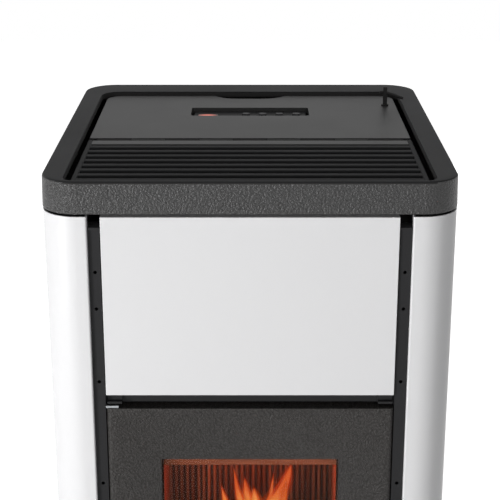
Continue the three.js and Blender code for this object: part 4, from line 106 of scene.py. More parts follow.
# %% Colour and node helpers
def linear(hex_value):
    channels = [int(hex_value[i:i + 2], 16) / 255.0 for i in (0, 2, 4)]
    return tuple(c / 12.92 if c <= 0.04045 else ((c + 0.055) / 1.055) ** 2.4 for c in channels) + (1.0,)


def add_node(tree, kind, settings=None, **links):
    node = tree.nodes.new(kind)
    for name, value in (settings or {}).items():
        if name == "stops":
            set_stops(node.color_ramp.elements, value)
        elif isinstance(name, int) or name in node.inputs:
            node.inputs[name].default_value = value
        else:
            setattr(node, name, value)
    for name, socket in links.items():
        key = int(name[1:]) if name.startswith("_") else name.replace("_", " ")
        tree.links.new(socket, node.inputs[key])
    return node


def new_material(name):
    material = bpy.data.materials.new(name)
    material.use_nodes = True
    tree = material.node_tree
    tree.nodes.clear()
    output = tree.nodes.new("ShaderNodeOutputMaterial")
    coordinates = tree.nodes.new("ShaderNodeTexCoord")
    return material, tree, output, coordinates.outputs["Object"]


def set_stops(elements, stops):
    while len(elements) < len(stops):
        elements.new(0.5)
    for element, (position, colour) in zip(elements, stops):
        element.position = position
        element.color = linear(colour) if isinstance(colour, str) else (colour,) * 3 + (1.0,)


def grain(size_mm, detail):
    return {"Scale": 1.0 / (size_mm * MM), "Detail": detail, "Roughness": 0.55}


print("mid grey 808080 is", round(linear("808080")[0], 3), "in linear light")

# %% [markdown]
# ## Cast iron
# The rim and the door are grey iron, cast in sand and sprayed with heat-proof paint. Sand leaves a fine
# grain, and the pattern maker adds shallow pebbles just under 3 mm across that hide small faults. The
# pebbles could be real bumps in the mesh, but that takes too many triangles, so two cell patterns of
# different size are mixed into one bump. The dips are painted a little darker and the pebble tops a little
# lighter, as painted shade and painted light.


# %% Cast iron, sand-cast and painted
# Real moulding sand has grains of about 0.3 mm. That is too fine to show from here, so they are coarser.
SAND_MM, PATCH_MM = 1.1, 60.0  # grain of the sand, and the slow change of the paint over a casting
FINER, SMALL_SHARE, SAND_SHARE = 1.9, 0.45, 0.35  # the small pebbles, and how much they and sand add


# Painted iron from a sand mould: each pebble gives the eye its own small spark, and no clear reflection.
def cast_iron(name, base, light, dark, pebble_mm, pebble_depth, rough, shine):
    material, tree, output, place = new_material(name)
    cells = add_node(tree, "ShaderNodeTexVoronoi", {"Scale": 1.0 / (pebble_mm * MM), "Randomness": 1.0,
                     "feature": "SMOOTH_F1", "Smoothness": 0.7}, Vector=place)
    small = add_node(tree, "ShaderNodeTexVoronoi", {"Scale": FINER / (pebble_mm * MM), "feature": "F1"},
                     Vector=place)
    sand = add_node(tree, "ShaderNodeTexNoise", grain(SAND_MM, 2.0), Vector=place).outputs["Fac"]
    patches = add_node(tree, "ShaderNodeTexNoise", grain(PATCH_MM, 3.0), Vector=place).outputs["Fac"]
    pebbles = add_node(tree, "ShaderNodeMath", {"operation": "MULTIPLY_ADD", 1: SMALL_SHARE},
                       _0=small.outputs["Distance"], _2=cells.outputs["Distance"])
    height = add_node(tree, "ShaderNodeMath", {"operation": "MULTIPLY_ADD", 1: SAND_SHARE}, _0=sand,
                      _2=pebbles.outputs[0])
    # painted shade in the dips between the pebbles, and painted light on their tops
    colour = add_node(tree, "ShaderNodeValToRGB", {"stops": [(0.15, light), (0.55, base), (0.95, dark)]},
                      Fac=pebbles.outputs[0]).outputs["Color"]
    shade = add_node(tree, "ShaderNodeValToRGB", {"stops": [(0.3, 0.88), (0.7, 1.0)]},
                     Fac=patches).outputs["Color"]
    tinted = add_node(tree, "ShaderNodeMix", {"data_type": "RGBA", "blend_type": "MULTIPLY", "Factor": 1.0})
    tree.links.new(colour, tinted.inputs["A"])
    tree.links.new(shade, tinted.inputs["B"])
    bump = add_node(tree, "ShaderNodeBump", {"Strength": 0.9, "Distance": pebble_depth * MM, "invert": True},
                    Height=height.outputs[0])
    shader = add_node(tree, "ShaderNodeBsdfPrincipled", {"Roughness": rough, "Specular IOR Level": shine},
                      Normal=bump.outputs["Normal"])
    tree.links.new(tinted.outputs["Result"], shader.inputs["Base Color"])
    tree.links.new(shader.outputs[0], output.inputs["Surface"])
    return material


print("pebbles are mixed with sand grain of", SAND_MM, "mm")

# %% [markdown]
# ## Powder coat, enamel and bare steel
# Sheet parts are powder-coated: the powder melts into a film with a faint orange-peel wave. The white
# casing is smoother and glossier than the dark inner sheets. Zinc-coated steel shows spangles, broad
# faint crystals a few millimetres wide, and scattered roughness between them. The wave is so shallow
# that a bump shows it well enough.


# %% Coated and bare sheet steel
# The grain of a melted powder is about 0.1 mm, and the lines of a brush are 0.2 mm apart. Both are too
# fine to show from here, so they are drawn about 1 mm wide.
FILM_GRAIN_MM, FILM_PATCH_MM = 0.9, 90.0  # grain in the film, and the slow change over a whole sheet


# A film that was sprayed as powder and melted: soft wide reflections that wave a little.
def powder_coat(name, colour, rough, wave_mm, wave_depth, mottle=0.0, grain_depth=0.0, shine=0.5):
    material, tree, output, place = new_material(name)
    wave = add_node(tree, "ShaderNodeTexNoise", grain(wave_mm, 2.0), Vector=place).outputs["Fac"]
    fine = add_node(tree, "ShaderNodeTexNoise", grain(FILM_GRAIN_MM, 2.0), Vector=place).outputs["Fac"]
    broad = add_node(tree, "ShaderNodeTexNoise", grain(FILM_PATCH_MM, 2.0), Vector=place).outputs["Fac"]
    bump = add_node(tree, "ShaderNodeBump", {"Strength": 0.6, "Distance": wave_depth * MM}, Height=wave)
    speckle = add_node(tree, "ShaderNodeBump", {"Strength": 0.7, "Distance": grain_depth * MM}, Height=fine,
                       Normal=bump.outputs["Normal"])
    shade = add_node(tree, "ShaderNodeValToRGB", {"stops": [(0.3, 1.0 - mottle), (0.7, 1.0)]},
                     Fac=broad).outputs["Color"]
    tinted = add_node(tree, "ShaderNodeMix", {"data_type": "RGBA", "blend_type": "MULTIPLY", "Factor": 1.0,
                      "A": linear(colour)})
    tree.links.new(shade, tinted.inputs["B"])
    roughness = add_node(tree, "ShaderNodeMapRange", {"To Min": rough * 0.92, "To Max": rough * 1.08},
                         Value=broad)
    shader = add_node(tree, "ShaderNodeBsdfPrincipled", {"IOR": 1.5, "Specular IOR Level": shine},
                      Roughness=roughness.outputs[0], Normal=speckle.outputs["Normal"])
    tree.links.new(tinted.outputs["Result"], shader.inputs["Base Color"])
    tree.links.new(shader.outputs[0], output.inputs["Surface"])
    return material


# Bare metal, dipped or brushed: full reflections, broken into crystals or fine lines.
def bare_metal(name, colour, rough, spangle_mm, stretch=(1.0, 1.0, 1.0)):
    material, tree, output, place = new_material(name)
    mapped = add_node(tree, "ShaderNodeMapping", {"Scale": stretch}, Vector=place)
    spangle = add_node(tree, "ShaderNodeTexVoronoi", {"Scale": 1.0 / (spangle_mm * MM)},
                       Vector=mapped.outputs["Vector"])
    fine = add_node(tree, "ShaderNodeTexNoise", grain(1.5, 3.0),
                    Vector=mapped.outputs["Vector"]).outputs["Fac"]
    grey = add_node(tree, "ShaderNodeSeparateColor", {}, Color=spangle.outputs["Color"])
    shade = add_node(tree, "ShaderNodeValToRGB", {"stops": [(0.0, 0.78), (1.0, 1.0)]},
                     Fac=grey.outputs[0]).outputs["Color"]
    tinted = add_node(tree, "ShaderNodeMix", {"data_type": "RGBA", "blend_type": "MULTIPLY", "Factor": 1.0,
                      "A": linear(colour)})
    tree.links.new(shade, tinted.inputs["B"])
    roughness = add_node(tree, "ShaderNodeMapRange", {"To Min": rough * 0.8, "To Max": rough * 1.25},
                         Value=fine)
    bump = add_node(tree, "ShaderNodeBump", {"Strength": 0.3, "Distance": 0.05 * MM}, Height=fine)
    shader = add_node(tree, "ShaderNodeBsdfPrincipled", {"Metallic": 1.0}, Normal=bump.outputs["Normal"],
                      Roughness=roughness.outputs[0])
    tree.links.new(tinted.outputs["Result"], shader.inputs["Base Color"])
    tree.links.new(shader.outputs[0], output.inputs["Surface"])
    return material


# after the colour: roughness, wave size and depth, mottle, grain depth in mm, and how much it mirrors
finishes = {
    # casing sheet, sprayed white and baked: nearly flat white, with weak and even highlights
    "white_enamel": powder_coat("white_enamelled_steel", "dededf", 0.32, 5.0, 0.02, 0.0, 0.0, 0.2),
    # rim, sand-cast and sprayed black: dips darkened with painted shade, and sparks where a pebble meets the
    # window light
    "cast_iron": cast_iron("sand_cast_iron", "161515", "292828", "080808", 2.8, 1.4, 0.38, 0.52),
    # door, the same iron, but dulled by the heat of the fire: greyer and less shiny than the rim
    "door_iron": cast_iron("sand_cast_door_iron", "353332", "45423f", "252321", 2.6, 1.3, 0.45, 0.22),
    # top face of the rim, ground flat before the paint: smoother and duller than the pebbled wall
    "smooth_iron": powder_coat("ground_cast_iron", "262627", 0.6, 3.0, 0.03, 0.1, 0.05, 0.08),
    # lid sheet with a satin dark film: it takes a broad pale sheen from the room
    "lid_paint": powder_coat("dark_lid_powder_coat", "404040", 0.46, 2.5, 0.03, 0.06, 0.03, 0.12),
    # slats with a dry dark film: only their rounded edges catch a thin line of light
    "slat_paint": powder_coat("dark_grille_powder_coat", "2b2b2c", 0.6, 2.5, 0.04, 0.1, 0.05, 0.04),
    # inner sheets with a plain dark film: they stay quiet behind the white casing
    "dark_paint": powder_coat("dark_chassis_powder_coat", "262627", 0.55, 3.0, 0.05, 0.1, 0.05, 0.12),
    # steel parts near the fire, painted heat-proof by brush: dull, patchy black; on the rim it also stands as
    # painted shade round the opening
    "dark_steel": powder_coat("black_heat_paint", "232222", 0.65, 3.0, 0.05, 0.2, 0.08, 0.2),
    # hopper, auger, fans and brackets, of zinc-coated sheet: light grey crystals about 5 mm wide
    "zinc_steel": bare_metal("zinc_coated_steel", "9a9da0", 0.38, 5.0),
    # door handle, brushed upwards with a belt: the light is drawn out into a streak
    "handle_steel": bare_metal("brushed_dark_steel", "707173", 0.32, 1.0, (1.0, 1.0, 0.06)),
}
print("finishes so far:", ", ".join(finishes))

# %% [markdown]
# ## Glass, fibre, rubber and plastics
# The window is glass ceramic, about 4 mm thick, with a faint amber tone. Gaskets are braided glass
# fibre, so they are dull and finely ribbed. The firebox liner is hot stainless steel, coloured brown
# by heat, with soot in its lower half. Keys and display are moulded, with a moulding's satin skin.


# %% Glass, fibre, rubber, plastic and liner
# Real glass ceramic has an IOR near 1.5. The picture shows no mirror image of the white room on the
# window, so the value is set lower, which keeps the pane clear enough to look through.
QUIET_GLASS_IOR = 1.12
# Soot is thickest at the pot's foot and gone at the top of the firebox.
SOOT_LOW, SOOT_HIGH, RIB_DEPTH = 280.0, 600.0, 3.4


# Rolled and fire-polished glass: the eye sees the fire through it, a little warmer.
def clear_glass(name, colour):
    material, tree, output, _ = new_material(name)
    shader = add_node(tree, "ShaderNodeBsdfPrincipled", {"Base Color": linear(colour), "Roughness": 0.02,
                      "IOR": QUIET_GLASS_IOR, "Transmission Weight": 1.0})
    through = add_node(tree, "ShaderNodeBsdfTransparent", {"Color": linear(colour)})
    path = add_node(tree, "ShaderNodeLightPath")
    pick = add_node(tree, "ShaderNodeMixShader", {}, _0=path.outputs["Is Shadow Ray"],
                    _1=shader.outputs[0], _2=through.outputs[0])
    tree.links.new(pick.outputs[0], output.inputs["Surface"])
    return material


# Cord braided from glass yarn: it scatters all light, and the gap beside each strand is painted dark as
# shade.
def braided_fibre(name, colour, strand_mm):
    material, tree, output, place = new_material(name)
    strands = add_node(tree, "ShaderNodeTexVoronoi", {"Scale": 1.0 / (strand_mm * MM)}, Vector=place)
    bump = add_node(tree, "ShaderNodeBump", {"Strength": 0.8, "Distance": 0.4 * MM},
                    Height=strands.outputs["Distance"])
    # painted shade: darker towards the gaps between the strands
    shade = add_node(tree, "ShaderNodeValToRGB", {"stops": [(0.0, colour), (1.0, "161514")]},
                     Fac=strands.outputs["Distance"]).outputs["Color"]
    shader = add_node(tree, "ShaderNodeBsdfPrincipled", {"Roughness": 0.95, "IOR": 1.5},
                      Normal=bump.outputs["Normal"])
    tree.links.new(shade, shader.inputs["Base Color"])
    tree.links.new(shader.outputs[0], output.inputs["Surface"])
    return material


# Stainless steel coloured by heat: brown above, sooty below, and darker in the grooves of a pressing as
# painted shade.
# Oxide and soot hide most of the bare metal, so it is only partly metallic. The shaded groove is the place,
# in millimetres, at which a rib's foot lies and the painted shade is darkest; a flat sheet is far from it.
def heated_liner(name, hot, cool, soot, shaded_groove=500.0):
    material, tree, output, place = new_material(name)
    height = add_node(tree, "ShaderNodeSeparateXYZ", {}, Vector=place)
    clouds = add_node(tree, "ShaderNodeTexNoise", grain(45.0, 4.0), Vector=place).outputs["Fac"]
    level = add_node(tree, "ShaderNodeMapRange", {"From Min": SOOT_LOW * MM, "From Max": SOOT_HIGH * MM},
                     Value=height.outputs["Z"])
    mixed = add_node(tree, "ShaderNodeMath", {"operation": "MULTIPLY_ADD", 1: 0.5}, _0=clouds,
                     _2=level.outputs[0])
    heated = add_node(tree, "ShaderNodeValToRGB", {"stops": [(0.2, soot), (0.6, cool), (1.0, hot)]},
                      Fac=mixed.outputs[0]).outputs["Color"]
    # painted shade: the colour darkens towards each rib's foot, where the groove lies in shade
    depth = add_node(tree, "ShaderNodeMapRange", {"From Min": shaded_groove * MM,
                     "From Max": (shaded_groove - RIB_DEPTH) * MM}, Value=height.outputs["Y"])
    shade = add_node(tree, "ShaderNodeValToRGB", {"stops": [(0.0, 0.12), (0.55, 0.5), (1.0, 1.0)]},
                     Fac=depth.outputs[0]).outputs["Color"]
    tinted = add_node(tree, "ShaderNodeMix", {"data_type": "RGBA", "blend_type": "MULTIPLY", "Factor": 1.0})
    tree.links.new(heated, tinted.inputs["A"])
    tree.links.new(shade, tinted.inputs["B"])
    scale = add_node(tree, "ShaderNodeTexNoise", grain(2.5, 3.0), Vector=place)
    bump = add_node(tree, "ShaderNodeBump", {"Strength": 0.4, "Distance": 0.3 * MM},
                    Height=scale.outputs["Fac"])
    shader = add_node(tree, "ShaderNodeBsdfPrincipled", {"Metallic": 0.35, "Roughness": 0.6},
                      Normal=bump.outputs["Normal"])
    tree.links.new(tinted.outputs["Result"], shader.inputs["Base Color"])
    tree.links.new(shader.outputs[0], output.inputs["Surface"])
    return material


# A clear red window with lamps behind it: brightest in its middle, and nearly black at its rim.
def lit_window(name, colour, dark, middle, half):
    material, tree, output, place = new_material(name)
    (middle_x, middle_y), (half_x, half_y) = middle, half
    centred = add_node(tree, "ShaderNodeMapping", {"Location": (-middle_x / half_x, -middle_y / half_y, 0.0),
                       "Scale": (1.0 / (half_x * MM), 1.0 / (half_y * MM), 0.0)}, Vector=place)
    away = add_node(tree, "ShaderNodeVectorMath", {"operation": "LENGTH"}, Vector=centred.outputs["Vector"])
    shade = add_node(tree, "ShaderNodeValToRGB", {"stops": [(0.35, colour), (1.0, dark)]},
                     Fac=away.outputs["Value"]).outputs["Color"]
    shader = add_node(tree, "ShaderNodeBsdfPrincipled", {"Base Color": linear(dark), "Roughness": 0.3,
                      "Specular IOR Level": 0.2, "Emission Strength": 0.8})
    tree.links.new(shade, shader.inputs["Emission Color"])
    tree.links.new(shader.outputs[0], output.inputs["Surface"])
    return material


finishes.update({
    # window pane of glass ceramic: clear, with a faint warm tone
    "ceramic_glass": clear_glass("amber_glass_ceramic", "f4e9df"),
    # gasket and seal of braided glass fibre: a matt grey cord, darkened by smoke
    "fibre": braided_fibre("braided_glass_fibre", "3a3734", 1.6),
    # feet of silicone rubber, moulded: soft black without a clear highlight
    "rubber": powder_coat("black_silicone_rubber", "232323", 0.75, 2.0, 0.02),
    # control housing of nylon with glass fibre, moulded: dark, with a fine dry grain
    "plastic": powder_coat("black_moulded_nylon", "2a2a2b", 0.6, 1.5, 0.03, 0.0, 0.04, 0.1),
    # keys, moulded in a polished tool: a little smoother than the housing round them
    "key_plastic": powder_coat("dark_moulded_keys", "2c2c2e", 0.5, 2.0, 0.02, 0.0, 0.0, 0.15),
    # display window of red acrylic, lit from behind: a warm patch that fades outwards
    "red_lens": lit_window("lit_red_display_window", "e0705c", "170d0c", (-61.0, 109.0), (15.0, 9.0)),
    # lintel strip just above the flames: the strongest heat colour, an orange brown
    "lintel": heated_liner("heat_tinted_lintel", "5e2d13", "50260f", "33190c"),
    # flat side walls of the firebox: duller brown, sooty near the floor
    "side_liner": heated_liner("heat_browned_side_liner", "6a3f28", "4a2f22", "231b17"),
    # pot, shell and retainer, sheet steel under soot: dull brown black with dry flakes
    "sooty_steel": powder_coat("sooty_firebox_steel", "1d1816", 0.8, 4.0, 0.2, 0.3, 0.2, 0.1),
    # ribbed rear wall, pressed stainless steel: brown ridges, and grooves painted nearly black as shade
    "liner_steel": heated_liner("heat_browned_stainless_steel", "8a5234", "6b4330", "35251d", -60.8),
})
print("finishes now:", len(finishes))

# %% [markdown]
# ## Exceptions to the record's finishes
# Most parts wear what the record says. In the picture a few look different: the slats are smoother
# than the cast rim, and what stands in the fire is sooty.

# %% Exceptions to the record's finishes
node_finish = {
    "warm_air_grille": "slat_paint", "hopper_lid": "lid_paint", "lid_catch": "dark_steel",
    "rib_liner_back": "liner_steel", "display_lens": "red_lens", "control_panel": "plastic",
    "door_frame": "door_iron", "side_liner_left": "side_liner", "side_liner_right": "side_liner",
    "firebox_shell": "sooty_steel", "burn_pot": "sooty_steel", "glass_retainer": "sooty_steel",
    "burn_pot_support": "sooty_steel",
}
print("nodes with a finish of their own:", len(node_finish))

# %% [markdown]
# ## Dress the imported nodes
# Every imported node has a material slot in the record, named for what it is made of. Each node takes
# the finish of that name, apart from the exceptions above.

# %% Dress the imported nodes
dressed = {}
for subpart in frame["record"]["subparts"]:
    name = subpart["node"]
    finish = node_finish.get(name, subpart["material_slot"])
    mesh = frame["nodes"][name].data
    mesh.materials.clear()
    mesh.materials.append(finishes[finish])
    dressed[name] = finish
print("dressed", len(dressed), "nodes in", len(set(dressed.values())), "finishes")

# %% [markdown]
# ## Studio
# The picture has a white background and light from the left and the front. A pale floor carries the
# shadow. Camera, glossy and transmitted rays see plain white where the floor and the world are, so the
# background is white in the picture and in the glass. For all else the world is a faint grey, and the
# lamps shape the object.


# %% Floor, world and lamps
FLOOR_HALF = 6.0  # metres
SHADE_NEAR, SHADE_FAR, SHADE_LEVEL = 0.35, 0.8, 0.62  # the floor is greyest within SHADE_NEAR metres


def white_for_eye(tree):
    path = add_node(tree, "ShaderNodeLightPath")
    either = add_node(tree, "ShaderNodeMath", {"operation": "MAXIMUM"}, _0=path.outputs["Is Camera Ray"],
                      _1=path.outputs["Is Glossy Ray"])
    seen = add_node(tree, "ShaderNodeMath", {"operation": "MAXIMUM"}, _0=either.outputs[0],
                    _1=path.outputs["Is Transmission Ray"])
    return seen.outputs[0]


def add_world(level):
    world = bpy.data.worlds.new("studio_air")
    bpy.context.scene.world = world
    world.use_nodes = True
    tree = world.node_tree
    tree.nodes.clear()
    seen = white_for_eye(tree)
    dim = add_node(tree, "ShaderNodeBackground", {"Color": linear("ffffff"), "Strength": level})
    bright = add_node(tree, "ShaderNodeBackground", {"Color": linear("ffffff"), "Strength": 1.0})
    mix = add_node(tree, "ShaderNodeMixShader", {}, _0=seen, _1=dim.outputs[0], _2=bright.outputs[0])
    output = tree.nodes.new("ShaderNodeOutputWorld")
    tree.links.new(mix.outputs[0], output.inputs["Surface"])


# A matt pale board: it shows the stove's shadow, and goes over into plain white further out.
def add_floor():
    mesh = bpy.data.meshes.new("studio_floor")
    shape = bmesh.new()
    bmesh.ops.create_grid(shape, x_segments=1, y_segments=1, size=FLOOR_HALF)
    shape.to_mesh(mesh)
    shape.free()
    floor = bpy.data.objects.new("studio_floor", mesh)
    bpy.context.scene.collection.objects.link(floor)
    material, tree, output, place = new_material("pale_studio_floor")
    distance = add_node(tree, "ShaderNodeVectorMath", {"operation": "LENGTH"}, Vector=place)
    far = add_node(tree, "ShaderNodeMapRange", {"From Min": SHADE_NEAR, "From Max": SHADE_FAR,
                   "To Min": SHADE_LEVEL, "To Max": 1.0}, Value=distance.outputs["Value"])
    glow = add_node(tree, "ShaderNodeMath", {"operation": "MULTIPLY"}, _0=far.outputs[0],
                    _1=white_for_eye(tree))
    paint = add_node(tree, "ShaderNodeBsdfPrincipled", {"Base Color": linear("e8e8e8"), "Roughness": 0.9,
                     "Specular IOR Level": 0.1, "Emission Color": linear("ffffff")},
                     Emission_Strength=glow.outputs[0])
    tree.links.new(paint.outputs[0], output.inputs["Surface"])
    mesh.materials.append(material)


def add_area_lamp(name, place, aim, size, power):
    data = bpy.data.lights.new(name, "AREA")
    data.shape = "RECTANGLE"
    data.size, data.size_y = size
    data.energy = power
    lamp = bpy.data.objects.new(name, data)
    lamp.location = place
    lamp.visible_camera = False
    lamp.rotation_euler = (Vector(aim) - Vector(place)).to_track_quat("-Z", "Y").to_euler()
    bpy.context.scene.collection.objects.link(lamp)


add_world(0.1)
add_floor()
AIM = (0.0, 0.0, 0.7)
# place, aim and size in metres, power in watts
add_area_lamp("left_window", (-2.6, -2.2, 0.55), AIM, (0.7, 0.8), 80.0)
add_area_lamp("front_card", (0.3, -3.2, 1.3), AIM, (2.0, 1.5), 30.0)
add_area_lamp("rear_left_card", (-2.3, 2.0, 1.4), (-0.1, 0.1, 0.95), (0.6, 0.4), 5.0)
add_area_lamp("rear_card", (0.4, 3.4, 0.4), (0.0, 0.0, 0.5), (1.6, 0.7), 14.0)
bpy.context.scene.view_settings.view_transform = "Standard"

# %% [markdown]
# ## Helpers for new pieces
# A dressed piece replaces an imported node and rides on the same body. Sheet and cast
# parts have soft edges, so a finished mesh is shaded smooth, and only edges sharper than a limit stay
# crisp. Edges are rounded inwards, so no piece grows. Further finishes can follow the first, for a
# piece whose faces don't all look the same.


# %% Finish and hand over a mesh
WELD_MM = 0.002  # corners closer than this are one corner


def hand_over(name, shape, finish, body, nodes=(), crisp=34.0, also=()):
    bmesh.ops.remove_doubles(shape, verts=shape.verts, dist=WELD_MM * MM)
    for edge in shape.edges:
        faces = edge.link_faces
        edge.smooth = len(faces) != 2 or edge.calc_face_angle(0.0) < math.radians(crisp)
    for face in shape.faces:
        face.smooth = True
    mesh = bpy.data.meshes.new(name)
    shape.to_mesh(mesh)
    count = sum(len(face.verts) - 2 for face in shape.faces)
    shape.free()
    for look in (finish, *also):
        mesh.materials.append(finishes[look])
    piece = bpy.data.objects.new(name, mesh)
    bpy.context.scene.collection.objects.link(piece)
    piece.modifiers.new("even_flats", "WEIGHTED_NORMAL").keep_sharp = True
    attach(piece, body)
    if nodes:
        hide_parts(*nodes)
    print(name, "has", count, "triangles")


def body_of(node):
    return frame["nodes"][node]["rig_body"]


def slot_of(node):
    return next(part["material_slot"] for part in frame["record"]["subparts"] if part["node"] == node)


print("the rim rides on", body_of("top_rim"), "and takes the slot", slot_of("top_rim"))

# %% [markdown]
# ## Softened copies
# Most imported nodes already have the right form, only with knife edges. For these a copy is enough: its
# doubled corners are merged, its flat faces are joined again, and its sharp outer edges get a small
# round, as a press brake or a casting leaves. A bevel modifier could do it too, but one operator on the
# edges that are really sharp keeps thin sheet edges clean.


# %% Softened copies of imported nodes
FLAT_DEGREES, SHARP_DEGREES = 0.4, 50.0  # flatter than the first is one face; the second needs a round
ROOM_FOR_ROUND = 2.2  # an edge shorter than this many radii has no room for a round


def merged_copy(node):
    shape = bmesh.new()
    shape.from_mesh(frame["nodes"][node].data)
    bmesh.ops.remove_doubles(shape, verts=shape.verts, dist=WELD_MM * MM)
    bmesh.ops.dissolve_limit(shape, angle_limit=math.radians(FLAT_DEGREES), verts=shape.verts,
                             edges=shape.edges)
    return shape


def soften(node, radius_mm):
    shape = merged_copy(node)
    if radius_mm > 0.0:
        edges = [edge for edge in shape.edges if len(edge.link_faces) == 2
                 and edge.calc_face_angle_signed(0.0) > math.radians(SHARP_DEGREES)
                 and edge.calc_length() > ROOM_FOR_ROUND * radius_mm * MM]
        bmesh.ops.bevel(shape, geom=edges, offset=radius_mm * MM, segments=2, profile=0.5,
                        affect="EDGES", material=-1, clamp_overlap=True)
    hand_over("dressed_" + node, shape, dressed[node], body_of(node), [node])


print("edges sharper than", SHARP_DEGREES, "degrees get a round")

# %% [markdown]
# ## Rings of rounded loops
# The rim is a section carried round a rounded rectangle. Each corner of the section gives one closed
# loop. A loop starts as a plain grid square, whose corners are bevelled into arcs; neighbouring loops
# are then bridged. A curve could sweep the section, but the opening has other radii than the outline.
# They also differ between front and rear, so those corners are bevelled one after the other.


# %% Rounded loops and the ring they make
def rounded_loop(shape, x_half, y_front, y_rear, front_radius, rear_radius, z, steps):
    middle = (y_front + y_rear) / 2.0
    half = (y_rear - y_front) / 2.0
    grid = bmesh.ops.create_grid(shape, x_segments=1, y_segments=1, size=1.0)
    corners = grid["verts"]
    for vert in corners:
        vert.co = Vector((vert.co.x * x_half, middle + vert.co.y * half, z)) * MM
    face = corners[0].link_faces[0]
    for radius, chosen in ((front_radius, [v for v in corners if v.co.y < middle * MM]),
                           (rear_radius, [v for v in corners if v.co.y > middle * MM])):
        if radius > 0.0:
            cut = bmesh.ops.bevel(shape, geom=chosen, offset=radius * MM, segments=steps, profile=0.5,
                                  affect="VERTICES", material=-1, clamp_overlap=False)
            face = next(f for f in cut["verts"][0].link_faces)
    edges = list(face.edges)
    bmesh.ops.delete(shape, geom=[face], context="FACES_ONLY")
    return edges


def ring_of_loops(loops, steps):
    shape = bmesh.new()
    edge_loops = [rounded_loop(shape, *loop, steps) for loop in loops]
    for first, second in zip(edge_loops, edge_loops[1:] + edge_loops[:1]):
        bmesh.ops.bridge_loops(shape, edges=first + second)
    bmesh.ops.remove_doubles(shape, verts=shape.verts, dist=WELD_MM * MM)
    bmesh.ops.recalc_face_normals(shape, faces=shape.faces)
    return shape


print("a loop takes half width, front, rear, two corner radii and a height")

# %% [markdown]
# ## Top rim
# The rim is one iron casting, 500 by 550 mm and 40 mm high. Its wall leans in by 0.8 mm so that it
# leaves the sand mould, its top edge is rounded at 3 mm, and the opening has a small round too. The
# ring starts under the wall, goes up outside, over the top and down inside to a thin skirt, which
# stands inside the casing. At the front the skirt is cut away, because the front panel stands there.

# %% Top rim
RIM_LOW, RIM_TOP = 920.0, 960.0
RIM_HALF_X, RIM_HALF_Y, RIM_CORNER = 250.0, 275.0, 45.0
EDGE_ROUND, EDGE_STEPS, DRAFT = 3.0, 3, 0.8
LIP_THICK = 8.0
SKIRT_LOW, SKIRT_OUTER, SKIRT_INNER, SKIRT_FRONT = 903.6, 10.9, 12.0, -231.0
ARC_STEPS = 14
OPENING = (221.0, -267.0, 220.0, 14.0, 26.0)


def rim_loop(inset, z):
    return (RIM_HALF_X - inset, -RIM_HALF_Y + inset, RIM_HALF_Y - inset, RIM_CORNER - inset,
            RIM_CORNER - inset, z)


def opening_loop(out, z):
    x_half, front, rear, front_radius, rear_radius = OPENING
    return (x_half + out, front - out, rear + out, front_radius + out, rear_radius + out, z)


def make_rim():
    loops = [rim_loop(1.2, RIM_LOW), rim_loop(0.4, RIM_LOW + 0.4), rim_loop(0.0, RIM_LOW + 1.4),
             rim_loop(DRAFT, RIM_TOP - EDGE_ROUND)]
    for step in range(1, EDGE_STEPS + 1):
        angle = math.radians(90.0 / EDGE_STEPS * step)
        loops.append(rim_loop(DRAFT + EDGE_ROUND * (1.0 - math.cos(angle)),
                              RIM_TOP - EDGE_ROUND * (1.0 - math.sin(angle))))
    loops += [opening_loop(1.2, RIM_TOP), opening_loop(0.35, RIM_TOP - 0.35),
              opening_loop(0.0, RIM_TOP - 1.2), opening_loop(0.0, RIM_TOP - LIP_THICK),
              rim_loop(SKIRT_INNER, RIM_TOP - LIP_THICK), rim_loop(SKIRT_INNER, SKIRT_LOW),
              rim_loop(SKIRT_OUTER, SKIRT_LOW), rim_loop(SKIRT_OUTER, RIM_LOW)]
    shape = ring_of_loops(loops, ARC_STEPS)
    for vert in shape.verts:
        if vert.co.z < (RIM_LOW - 1.0) * MM and vert.co.y < SKIRT_FRONT * MM:
            climb = SKIRT_FRONT - vert.co.y / MM
            vert.co.z = min(RIM_LOW - 0.2, vert.co.z / MM + climb) * MM
    for face in shape.faces:
        middle = face.calc_center_median()
        if middle.z > (RIM_TOP - 1.0) * MM:
            face.material_index = 1
        # painted shade: the wall round the opening takes the black heat paint, as it lies in shade under the
        # top
        elif (abs(middle.x) < (OPENING[0] + 0.5) * MM and middle.y < (OPENING[2] + 0.5) * MM
              and middle.z > (RIM_TOP - LIP_THICK - 1.0) * MM):
            face.material_index = 2
    hand_over("rim_casting", shape, "cast_iron", "stove", ["top_rim"],
              crisp=30.0, also=("smooth_iron", "dark_steel"))


make_rim()

# %% [markdown]
# ## Side panels
# Each side panel is one steel sheet, 2 mm thick, bent round the corners at 45 mm and folded back in the
# front and at the rear. A strip of five walls is extruded upwards, its upright edges are bevelled into
# the bends, and the sheet then gets its thickness inwards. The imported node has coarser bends, which
# would show as facets on the white corners.

# %% Side panels
PANEL_LOW, PANEL_HIGH = 24.0, 917.0
PANEL_X, PANEL_Y, PANEL_FOLD_X, PANEL_FOLD_Y = 249.5, 274.5, 193.0, 264.5
PANEL_THICK, BEND_RADIUS, FOLD_RADIUS = 2.0, 45.0, 2.2


def raised_strip(path, low, high):
    shape = bmesh.new()
    verts = [shape.verts.new(Vector((x, y, low)) * MM) for x, y in path]
    edges = [shape.edges.new(pair) for pair in zip(verts, verts[1:])]
    raised = bmesh.ops.extrude_edge_only(shape, edges=edges)["geom"]
    top = [item for item in raised if isinstance(item, bmesh.types.BMVert)]
    bmesh.ops.translate(shape, vec=Vector((0.0, 0.0, (high - low) * MM)), verts=top)
    return shape


